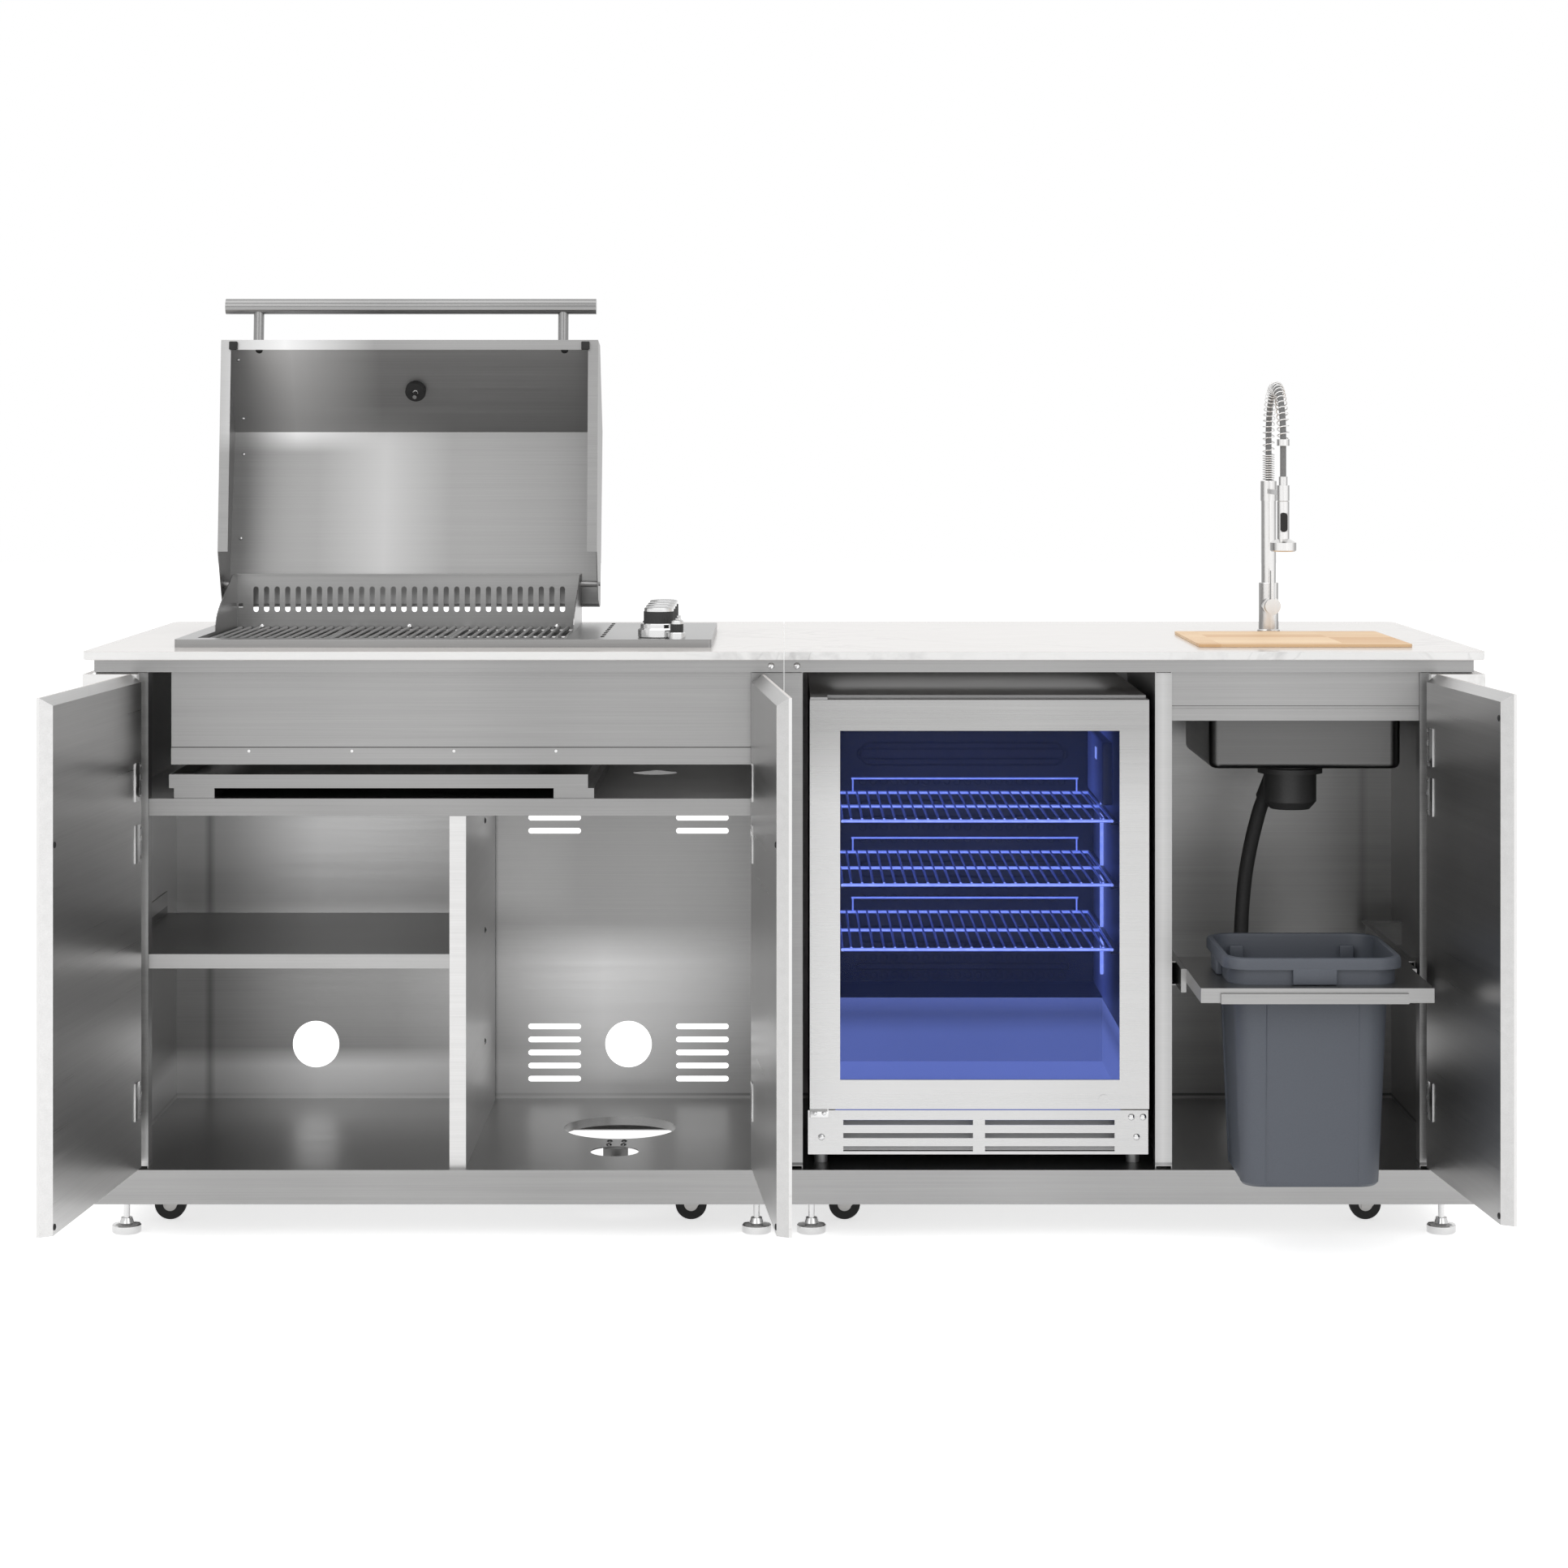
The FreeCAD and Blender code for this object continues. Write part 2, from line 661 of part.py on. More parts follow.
def base_left():
    """The left cabinet's floor, with the gas bottle's collar and its screw clamp."""
    tray = base_tray(-CAB_X1, -CAB_X0)
    top = FLOOR_Z
    collar = rod(TANK_R + SHEET, (TANK_X, TANK_Y, top - TANK_COLLAR_H), (TANK_X, TANK_Y, top))
    plate = box(TANK_X - STRAP_PLATE_W / 2, TANK_X + STRAP_PLATE_W / 2, STRAP_PLATE_Y,
                STRAP_PLATE_Y + RAIL_T, top - 34, top - RAIL_T)
    foot = box(TANK_X - STRAP_PLATE_W / 2, TANK_X + STRAP_PLATE_W / 2, STRAP_PLATE_Y,
               STRAP_BOLT_Y[1] + 9, top - RAIL_T - 2, top - RAIL_T)
    screw = fuse([rod(3.0, (TANK_X, STRAP_PLATE_Y - 22, top - 22), (TANK_X, STRAP_PLATE_Y + 14, top - 22)),
                  box(TANK_X - 9, TANK_X + 9, STRAP_PLATE_Y - 28, STRAP_PLATE_Y - 24, top - 30, top - 14),
                  rod(4.5, (TANK_X, STRAP_PLATE_Y - 26, top - 22), (TANK_X, STRAP_PLATE_Y - 20, top - 22))])
    body = fuse([tray, collar, plate, foot, screw])
    bore = rod(TANK_R, (TANK_X, TANK_Y, top - 50), (TANK_X, TANK_Y, top + 5))
    strap = rod(STRAP_R, (TANK_X, STRAP_Y, top - RAIL_T - 1), (TANK_X, STRAP_Y, top + 5))
    return cut(body, [bore, strap] + bolt_holes(CLAMP_BOLTS))


def base_right():
    """The right cabinet's floor, with the hole that the drain hose goes down through."""
    tray = base_tray(CAB_X0, CAB_X1)
    x, y, _ = HOSE_POINTS[-1]
    return cut(tray, [rod(HOSE_R + 0.5, (x, y, FLOOR_Z - RAIL_T - 1), (x, y, FLOOR_Z + 1))])


def band_ring(x0, x1):
    """The top frame of one cabinet: a channel open to the inside, which carries the stone."""
    ring = box(x0, x1, 0, BAND_D, BAND_Z, SLAB_Z)
    window = box(x0 + RAIL_FLANGE, x1 - RAIL_FLANGE, RAIL_FLANGE, BAND_D - RAIL_FLANGE, BAND_Z, SLAB_Z)
    groove = box(x0 + RAIL_T, x1 - RAIL_T, RAIL_T, BAND_D - RAIL_T, BAND_Z + RAIL_T, SLAB_Z - RAIL_T)
    ring = cut(ring, [window, groove])
    cross = [box(x0 + RAIL_T, x1 - RAIL_T, CABINET_D - RAIL_FLANGE, CABINET_D, BAND_Z, BAND_Z + RAIL_T),
             box(x0 + RAIL_T, x1 - RAIL_T, CABINET_D - RAIL_T, CABINET_D, BAND_Z, SLAB_Z)]
    return fuse([ring] + cross)


def cabinet_bands():
    right = band_ring(CAB_X0, CAB_X1)
    return group([cut(frame, bolt_holes(BAND_BOLTS)) for frame in (mirrored(right), right)])


def side_wall(outer_x, inward, post_w):
    """One side of a cabinet in folded sheet: front post, liner and rear post in one piece."""
    at = lambda d: outer_x + inward * d
    y0, y1 = POST_SET, POST_SET + POST_D
    front = box(at(0), at(post_w), y0, y0 + SHEET, FLOOR_Z + POST_FOOT_GAP, BAND_Z - POST_HEAD_GAP)
    outer = box(at(0), at(SHEET), y0, y1, FLOOR_Z, BAND_Z)
    jamb = box(at(post_w - SHEET), at(post_w), y0, y1, FLOOR_Z, BAND_Z)
    back = box(at(LINER_IN), at(post_w), y1 - SHEET, y1, FLOOR_Z, BAND_Z)
    liner = box(at(LINER_IN), at(LINER_IN + SHEET), y1 - SHEET, CABINET_D, FLOOR_Z, BAND_Z)
    rear = box(at(0), at(LINER_IN + SHEET), CABINET_D - SHEET, CABINET_D, FLOOR_Z, BAND_Z)
    rear_edge = box(at(0), at(SHEET), CABINET_D - POST_D, CABINET_D, FLOOR_Z, BAND_Z)
    return fuse([front, outer, jamb, back, liner, rear, rear_edge])


def back_panel(x0, x1, side):
    """The back of a cabinet on the given side of the seam, with pass-through holes and vents."""
    panel = box(x0, x1, BACK_Y, BACK_Y + SHEET, FLOOR_Z, BAND_Z)
    mid = side * CAB_MID
    cuts = []
    for dx in (-PANEL_HOLE_X, PANEL_HOLE_X):
        z = FLOOR_Z + PANEL_HOLE_H
        cuts.append(rod(PANEL_HOLE_R, (mid + dx, BACK_Y - 1, z), (mid + dx, BACK_Y + SHEET + 1, z)))
    for dx in VENT_X:
        x = mid - side * dx
        for base in VENT_ROW_H:
            for row in range(VENT_ROWS):
                z = FLOOR_Z + base + (row - (VENT_ROWS - 1) / 2) * VENT_PITCH
                cuts += flat_slot(x - VENT_W / 2, x + VENT_W / 2, BACK_Y - 1, BACK_Y + SHEET + 1,
                                  z, VENT_H / 2)
    return cut(panel, cuts)


def carcass_left():
    return fuse([
        side_wall(-CAB_X1, 1, END_POST_W),
        side_wall(-CAB_X0, -1, LEFT_SEAM_POST_W),
        back_panel(-END_LINER_X - SHEET, -SEAM_LINER_X, -1),
    ])


def carcass_right():
    """The right cabinet's sides and back, with the post and partition beside the refrigerator."""
    y0, y1 = POST_SET, POST_SET + POST_D
    post = [
        box(BAY_X1, SINK_BAY_X0, y0, y0 + SHEET, FLOOR_Z + POST_FOOT_GAP, BAND_Z - POST_HEAD_GAP),
        box(BAY_X1, BAY_X1 + SHEET, y0, y1, FLOOR_Z, BAND_Z),
        box(SINK_BAY_X0 - SHEET, SINK_BAY_X0, y0, y1, FLOOR_Z, BAND_Z),
        box(BAY_X1, SINK_BAY_X0, y1 - SHEET, y1, FLOOR_Z, BAND_Z),
        box(PARTITION_X, PARTITION_X + SHEET, y1 - SHEET, BACK_Y + SHEET, FLOOR_Z, BAND_Z),
    ]
    return fuse([
        side_wall(CAB_X0, 1, RIGHT_SEAM_POST_W),
        side_wall(CAB_X1, -1, END_POST_W),
        back_panel(SEAM_LINER_X, END_LINER_X + SHEET, 1),
    ] + post)


def tank_bay_divider():
    """The folded divider between the shelf side and the gas bottle side."""
    x0, x1 = DIVIDER_X0, DIVIDER_X0 + DIVIDER_W
    z0, z1 = FLOOR_Z, HEAT_SHELF_Z - SHEET
    front = box(x0, x1, SHELF_FRONT_Y, SHELF_FRONT_Y + SHEET, z0, z1)
    sides = [box(x0, x0 + SHEET, SHELF_FRONT_Y, DIVIDER_BACK_Y, z0, z1),
             box(x1 - SHEET, x1, SHELF_FRONT_Y, DIVIDER_BACK_Y, z0, z1)]
    lip = cut(fuse([front] + sides), [box(x0 - 1, x1 + 1, SHELF_FRONT_Y - 1, SHELF_FRONT_Y + 3 * SHEET,
                                          HEAT_SHELF_Z - SHELF_LIP - 0.5, z1 + 1)])
    return cut(lip, bolt_holes(DIVIDER_BOLTS))


def half_shelf():
    """The shelf left of the divider, with a front lip and an upstand bolted to the wall."""
    x0, x1 = -END_LINER_X + 0.3, DIVIDER_X0 - 0.3
    y0, y1 = POST_SET + POST_D + 0.3, SHELF_FRONT_Y + HALF_SHELF_D
    z = HALF_SHELF_Z
    edge_x = -OPENING_X1 + 0.3
    deck = fuse([box(x0, x1, y0, y1, z - SHEET, z),
                 box(edge_x, x1, SHELF_FRONT_Y, y0, z - SHEET, z)])
    lip = box(edge_x, x1, SHELF_FRONT_Y, SHELF_FRONT_Y + SHEET, z - HALF_SHELF_LIP, z)
    back_lip = box(x0, x1, y1 - SHEET, y1, z - HALF_SHELF_LIP, z)
    upstand = box(x0, x0 + SHEET, y0, y1, z - SHEET, z + HALF_SHELF_UPSTAND)
    return fuse([deck, lip, back_lip, upstand])


def heat_shelf():
    """The full-width shelf under the grill, with the drip tray's two rails on it."""
    x0, x1 = -END_LINER_X + 0.3, -SEAM_LINER_X - SHEET - 0.3
    e0, e1 = -OPENING_X1 + 0.3, -LEFT_OPENING_X0 - 0.3
    y0, y1, z = POST_SET + POST_D + 0.3, BACK_Y - 0.3, HEAT_SHELF_Z
    deck = fuse([box(x0, x1, y0, y1, z - SHEET, z),
                 box(e0, e1, SHELF_FRONT_Y, y0, z - SHEET, z)])
    lip = box(e0, e1, SHELF_FRONT_Y, SHELF_FRONT_Y + SHEET, z - SHELF_LIP, z)
    ends = [box(x0, x0 + SHEET, y0, y1, z - SHELF_LIP, z), box(x1 - SHEET, x1, y0, y1, z - SHELF_LIP, z)]
    rails = []
    for rx in TRAY_RAIL_X:
        wide = box(rx, rx + TRAY_RAIL_W, SHELF_FRONT_Y + 4, SHELF_FRONT_Y + TRAY_D, z, z + TRAY_RAIL_H)
        hollow = box(rx + SHEET, rx + TRAY_RAIL_W - SHEET, SHELF_FRONT_Y + 4 + SHEET,
                     SHELF_FRONT_Y + TRAY_D + 1, z, z + TRAY_RAIL_H - SHEET)
        rails.append(wide.cut(hollow))
    hx, hy, hr = HEAT_HOLE
    hole = rod(hr, (hx, hy, z - 5), (hx, hy, z + 5))
    return cut(fuse([deck, lip] + ends + rails), [hole])


def bay_aprons():
    """The fixed fronts between the band and the openings of the grill bay and of the sink bay."""
    y = POST_SET + APRON_SET
    z1 = BAND_Z - 0.3
    x0, x1 = GRILL_APRON_X0, -LEFT_OPENING_X0 - 0.3
    grill = fuse([
        box(x0, x1, y, y + SHEET, GRILL_APRON_Z, z1),
        box(x0, x1, STRIP_Y, y + SHEET, GRILL_APRON_Z - SHEET, GRILL_APRON_Z),
        box(x0, x1, STRIP_Y, STRIP_Y + SHEET, GRILL_APRON_Z - GRILL_STRIP_H, GRILL_APRON_Z),
        box(x0, x1, y, y + RAIL_FLANGE, z1 - SHEET, z1),
        box(x1 - SHEET, x1, y, y + POST_D, GRILL_APRON_Z - GRILL_STRIP_H, z1),
    ])
    grill = cut(grill, bolt_holes(STRIP_BOLTS))
    s0, s1 = SINK_BAY_X0 + 0.3, OPENING_X1 - 0.3
    sink = fuse([
        box(s0, s1, y, y + SHEET, SINK_APRON_Z, z1),
        box(s0, s1, y, y + 6, SINK_APRON_Z, SINK_APRON_Z + SHEET),
        box(s0, s1, y + 6 - SHEET, y + 6, SINK_RAIL_Z, SINK_APRON_Z + SHEET),
        box(s0, s1, y + 2, y + 6, SINK_RAIL_TOP - SHEET, SINK_RAIL_TOP),
        box(s0, s1, y + 2, y + 2 + SHEET, SINK_RAIL_Z, SINK_RAIL_TOP),
        box(s0, s1, y, y + RAIL_FLANGE, z1 - SHEET, z1),
    ])
    return group([grill, sink])


def end_cladding(hinge_heights):
    """The right-hand end: an L of stone-look panel, hollow behind, notched round the hinges."""
    x0, x1, t = CAB_X1, CAB_X1 + END_CLAD_T, CLAD_T
    front_y = DOOR_FRONT_Y + END_CLAD_FRONT_GAP
    edge_x = END_HINGE_X + PILASTER_GAP
    side = box(x0, x1, front_y, CABINET_D, DOOR_Z0, DOOR_Z1)
    pilaster = box(edge_x, x1, front_y, POST_SET, DOOR_Z0, DOOR_Z1)
    cuts = [
        box(x0 - 1, x1 - t, POST_SET + SHEET, CABINET_D - t, DOOR_Z0 + t, DOOR_Z1 - t),
        box(edge_x + t + PILASTER_NOTCH, x0 - t, front_y + t, POST_SET + 1, DOOR_Z0 + t, DOOR_Z1 - t),
    ]
    half = HINGE_H / 2 + NOTCH_CLEAR
    for z in hinge_heights:
        cuts.append(box(edge_x - 1, edge_x + PILASTER_NOTCH, front_y - 1, POST_SET + 1, z - half, z + half))
    return cut(fuse([side, pilaster]), cuts)


def end_claddings():
    return group([mirrored(end_cladding(GRILL_DOOR_HINGE_Z)), end_cladding(SINK_DOOR_HINGE_Z)])


# Worktop

def slab(x0, x1, round_x):
    """A stone slab with rounded corners on the side of round_x and eased edges."""
    block = box(x0, x1, -SLAB_FRONT, SLAB_D - SLAB_FRONT, SLAB_Z, TOP_Z)
    corners = [e for e in block.Edges
               if abs(e.BoundBox.XMin - round_x) < 0.01 and abs(e.BoundBox.XMax - round_x) < 0.01
               and e.BoundBox.ZLength > SLAB_T / 2]
    block = block.makeFillet(SLAB_CORNER_R, corners)
    rim = [e for e in block.Edges if e.BoundBox.ZLength < 0.01]
    return block.makeFillet(SLAB_EDGE_R, rim)


def worktop_left():
    top = slab(-CAB_X1 - SLAB_SIDE, -CAB_X0, -CAB_X1 - SLAB_SIDE)
    hole = rounded_block(FIREBOX_X0 - 8, FIREBOX_X1 + 120, FIREBOX_Y0 - 8, FIREBOX_Y1 + 8, SLAB_Z - 1,
                         TOP_Z + 1, 8)
    knob_bay = box(FIREBOX_X1 + 100, GRILL_X1 - 25, KNOB_Y[0] - 40, KNOB_Y[-1] + 45, SLAB_Z - 1, TOP_Z + 1)
    return cut(top, [hole, knob_bay])


def sink_cut_outline(grow):
    half_w = SINK_W / 2 - SINK_REVEAL + grow
    half_d = SINK_D / 2 - SINK_REVEAL + grow
    return SINK_X - half_w, SINK_X + half_w, SINK_Y - half_d, SINK_Y + half_d


def worktop_right():
    top = slab(CAB_X0, CAB_X1 + SLAB_SIDE, CAB_X1 + SLAB_SIDE)
    hole = rounded_block(*sink_cut_outline(0), SLAB_Z - 1, TOP_Z + 1, SINK_R)
    tap = rod(SHANK_R + SHANK_CLEAR, (FAUCET_X, FAUCET_Y, SLAB_Z - 1), (FAUCET_X, FAUCET_Y, TOP_Z + 1))
    return cut(top, [hole, tap])


# Grill

def grill_frame():
    """The stainless rim of the grill and its control panel, one folded sheet lying on the stone."""
    x0, x1, y0, y1 = GRILL_X0, GRILL_X1, GRILL_Y0, GRILL_Y1
    tray = rounded_block(x0, x1, y0, y1, TOP_Z, GRILL_Z, 6)
    hollow = rounded_block(x0 + SHEET, x1 - SHEET, y0 + SHEET, y1 - SHEET, TOP_Z - 1, GRILL_Z - SHEET, 5)
    fire = box(FIREBOX_X0, FIREBOX_X1, FIREBOX_Y0, FIREBOX_Y1, TOP_Z - 1, GRILL_Z + 1)
    holes = [rod(STEM_R + 0.5, (KNOB_X, y, TOP_Z), (KNOB_X, y, GRILL_Z + 1)) for y in KNOB_Y]
    for i in range(PANEL_VENT_N):
        y = PANEL_VENT_Y0 + i * PANEL_VENT_PITCH
        holes.append(rounded_block(PANEL_VENT_X - PANEL_VENT_W / 2, PANEL_VENT_X + PANEL_VENT_W / 2,
                                   y - PANEL_VENT_L / 2, y + PANEL_VENT_L / 2, TOP_Z, GRILL_Z + 1,
                                   PANEL_VENT_W / 2))
    return cut(tray, [hollow, fire] + holes)


def firebox():
    """The grill's tub with raised hinge cheeks, a slotted rear wall and a slot for the grease."""
    x0, x1, y0, y1, t = FIREBOX_X0, FIREBOX_X1, FIREBOX_Y0, FIREBOX_Y1, SHEET
    z0, z1 = FIREBOX_BOTTOM_Z, GRILL_Z
    tub = box(x0, x1, y0, y1, z0, z1).cut(box(x0 + t, x1 - t, y0 + t, y1 - t, z0 + t, z1 + 1))
    cheek_outline = [(CHEEK_EDGE[0][0], z1 - 1), (y1, z1 - 1), (y1, CHEEK_TOP_Z), (CHEEK_HEAD_Y, CHEEK_TOP_Z)]
    cheek_outline += reversed(CHEEK_EDGE)
    pieces = [tub, profile_x(cheek_outline, x0, x0 + t), profile_x(cheek_outline, x1 - t, x1)]
    pieces.append(box(x0, x1, y1 - t, y1, z1 - 1, CHEEK_TOP_Z))
    pieces.append(box(x0, x1, y1 - 14, y1, CHEEK_TOP_Z - t, CHEEK_TOP_Z))
    ledge_z = grate_seat_z()
    for ya, yb in ((y0 + t, y0 + t + 14), (y1 - t - 14, y1 - t)):
        pieces.append(box(x0 + t, x1 - t, ya, yb, ledge_z - t, ledge_z))
    middle = (x0 + x1) / 2
    cuts = []
    for i in range(REAR_SLOT_N):
        x = middle + (i - (REAR_SLOT_N - 1) / 2) * REAR_SLOT_PITCH
        z = z1 + REAR_SLOT_Z
        cuts += upright_slot(x, y1 - t - 1, y1 + 1, z, z + REAR_SLOT_H, REAR_SLOT_W / 2)
    for x in (x0 + REAR_PORT_IN, x1 - REAR_PORT_IN):
        z = z1 + REAR_PORT_UP
        cuts.append(box(x - REAR_PORT / 2, x + REAR_PORT / 2, y1 - t - 1, y1 + 1, z - REAR_PORT / 2,
                        z + REAR_PORT / 2))
    mid_y = (y0 + y1) / 2
    cuts.append(box(middle - GREASE_SLOT_W / 2, middle + GREASE_SLOT_W / 2, mid_y - GREASE_SLOT_D / 2,
                    mid_y + GREASE_SLOT_D / 2, z0 - 1, z0 + t + 1))
    for y in KNOB_Y:
        line = y + BURNER_SHIFT
        cuts.append(rod(VENTURI_R, (x1 - t - 1, line, BURNER_Z), (x1 + 1, line, BURNER_Z)))
    pins = [rod(HOOD_PIN_R, (x0, HOOD_PIN_Y, HOOD_PIN_Z), (HOOD_X0 + HOOD_T + 0.3, HOOD_PIN_Y, HOOD_PIN_Z)),
            rod(HOOD_PIN_R, (x1, HOOD_PIN_Y, HOOD_PIN_Z), (HOOD_X1 - HOOD_T - 0.3, HOOD_PIN_Y, HOOD_PIN_Z))]
    axle = [rod(HOOD_PIN_R - 2, (x0, HOOD_PIN_Y, HOOD_PIN_Z), (HOOD_X0 - 3, HOOD_PIN_Y, HOOD_PIN_Z)),
            rod(HOOD_PIN_R - 2, (x1, HOOD_PIN_Y, HOOD_PIN_Z), (HOOD_X1 + 3, HOOD_PIN_Y, HOOD_PIN_Z))]
    return fuse([cut(fuse(pieces), cuts + bolt_holes(REAR_BOLTS))] + pins + axle)


def grate_seat_z():
    return GRILL_Z - GRATE_DROP - 4 * GRATE_ROD_R + 1


def cooking_grates():
    """Three panels of round bars on two cross bars, lying on the firebox's ledges."""
    y0, y1 = FIREBOX_Y0 + SHEET + GRATE_FRONT_ROOM, FIREBOX_Y1 - SHEET - GRATE_BACK_ROOM
    bar_z = GRILL_Z - GRATE_DROP - GRATE_ROD_R
    cross_z = grate_seat_z() + GRATE_ROD_R
    width = (GRATE_BARS - 1) * GRATE_PITCH + 2 * GRATE_ROD_R
    middle = (FIREBOX_X0 + FIREBOX_X1) / 2
    panels = []
    for k in range(GRATE_N):
        start = middle + (k - (GRATE_N - 1) / 2) * (width + GRATE_GAP) - width / 2 + GRATE_ROD_R
        bars = [rod(GRATE_ROD_R, (start + i * GRATE_PITCH, y0, bar_z), (start + i * GRATE_PITCH, y1, bar_z))
                for i in range(GRATE_BARS)]
        for y in (y0 + 7, (y0 + y1) / 2, y1 - 7):
            bars.append(rod(GRATE_ROD_R, (start, y, cross_z), (start + width - 2 * GRATE_ROD_R, y, cross_z)))
        panels.append(fuse(bars))
    return group(panels)


def burners():
    """Four tube burners along the fire, and the gas manifold with its valves under the knobs."""
    shapes = []
    x0, x1 = FIREBOX_X0 + SHEET, FIREBOX_X1 - SHEET
    for y in KNOB_Y:
        line = y + BURNER_SHIFT
        tube = rod(BURNER_R, (x0, line, BURNER_Z), (x1 - 1, line, BURNER_Z))
        hollow = rod(BURNER_R - SHEET, (x0 + SHEET, line, BURNER_Z), (x1 - 1 - SHEET, line, BURNER_Z))
        neck = rod(VENTURI_R, (x1 - 1 - SHEET, line, BURNER_Z), (KNOB_X - VALVE_W / 2, line, BURNER_Z))
        shapes.append(fuse([tube.cut(hollow), neck]))
    valves = [rod(MANIFOLD_R, (KNOB_X, KNOB_Y[0] - 30, MANIFOLD_Z), (KNOB_X, KNOB_Y[-1] + 150, MANIFOLD_Z))]
    for y in KNOB_Y:
        valves.append(box(KNOB_X - VALVE_W / 2, KNOB_X + VALVE_W / 2, y - VALVE_W / 2, y + VALVE_W / 2,
                          MANIFOLD_Z - 12, MANIFOLD_Z + 30))
        valves.append(rod(VALVE_NECK_R, (KNOB_X, y, MANIFOLD_Z + 29), (KNOB_X, y, GRILL_Z - SHEET)))
        valves.append(rod(STEM_R, (KNOB_X, y, GRILL_Z - SHEET - 1), (KNOB_X, y, GRILL_Z + STEM_UP)))
    return group([fuse(shapes + valves)])


def knob_bezels():
    """The four stepped dishes under the knobs and the ignition button's own collar."""
    pieces = []
    for y in KNOB_Y:
        dish = revolved([(BEZEL_R - 2, GRILL_Z), (BEZEL_R, GRILL_Z + 2), (BEZEL_R, GRILL_Z + BEZEL_H - 3),
                         (BEZEL_R - 3, GRILL_Z + BEZEL_H), (BEZEL_STEP_R, GRILL_Z + BEZEL_H),
                         (BEZEL_STEP_R, GRILL_Z + BEZEL_H + BEZEL_STEP_H - 1.5),
                         (BEZEL_STEP_R - 1.5, GRILL_Z + BEZEL_H + BEZEL_STEP_H),
                         (STEM_R + 1, GRILL_Z + BEZEL_H + BEZEL_STEP_H),
                         (STEM_R + 1, GRILL_Z + BEZEL_H + BEZEL_STEP_H - 3),
                         (BEZEL_STEP_R - 3, GRILL_Z + BEZEL_H + BEZEL_STEP_H - 3),
                         (BEZEL_STEP_R - 3, GRILL_Z + BEZEL_H - 3), (BEZEL_R - 3, GRILL_Z + BEZEL_H - 5),
                         (BEZEL_R - 4, GRILL_Z)], KNOB_X, y)
        pieces.append(dish)
    bore = IGNITER_R + IGNITER_FIT
    pieces.append(revolved([(0, GRILL_Z), (IGNITER_BASE_R, GRILL_Z),
                            (IGNITER_BASE_R, GRILL_Z + IGNITER_BASE_H - 1.5),
                            (IGNITER_BASE_R - 1.5, GRILL_Z + IGNITER_BASE_H),
                            (bore, GRILL_Z + IGNITER_BASE_H), (bore, GRILL_Z + SHEET),
                            (0, GRILL_Z + SHEET)], IGNITER_X, IGNITER_Y))
    return group(pieces)


def knob(y):
    z0 = GRILL_Z + BEZEL_H + BEZEL_STEP_H + KNOB_LIFT
    z1, z2 = z0 + KNOB_BAND_H, z0 + KNOB_BAND_H + KNOB_CAP_H
    body = revolved([(0, z0), (KNOB_R, z0), (KNOB_R, z1), (KNOB_R - 1, z1), (KNOB_R - 1, z2 - 3),
                     (KNOB_R - 4, z2), (0, z2)], KNOB_X, y)
    grip = box(KNOB_X - 2, KNOB_X + 2, y - KNOB_R - 1.5, y - KNOB_R + 2, z0 + 2, z1 - 2)
    bore = rod(STEM_R + HINGE_FIT, (KNOB_X, y, z0 - 1), (KNOB_X, y, GRILL_Z + STEM_UP + 1))
    return cut(fuse([body, grip]), [bore])


def igniter_button():
    z0 = GRILL_Z + SHEET + IGNITER_TRAVEL + 0.3
    z1 = GRILL_Z + IGNITER_BASE_H + IGNITER_BAND_H
    z2 = z1 + IGNITER_CAP_H
    return revolved([(0, z0), (IGNITER_R, z0), (IGNITER_R, z1), (IGNITER_R - 1, z1),
                     (IGNITER_R - 2.5, z1 + 3.5), (IGNITER_R - 5.5, z2 - 1.5), (0, z2)], IGNITER_X, IGNITER_Y)


def opened_hood(shape):
    return turned(shape, (0, HOOD_PIN_Y, HOOD_PIN_Z), (1, 0, 0), -HOOD_OPEN_DEG)


def inset_outline(points, t):
    """The outline moved inward by t, its last edges left open below."""
    inner = []
    n = len(points)
    for i in range(n):
        before, here, after = points[i - 1], points[i], points[(i + 1) % n]
        a = Vector(0, here[0] - before[0], here[1] - before[1]).normalize()
        b = Vector(0, after[0] - here[0], after[1] - here[1]).normalize()
        na, nb = Vector(0, a.z, -a.y), Vector(0, b.z, -b.y)
        scale = t / (1 + na.dot(nb))
        inner.append((here[0] + (na.y + nb.y) * scale, here[1] + (na.z + nb.z) * scale))
    return inner


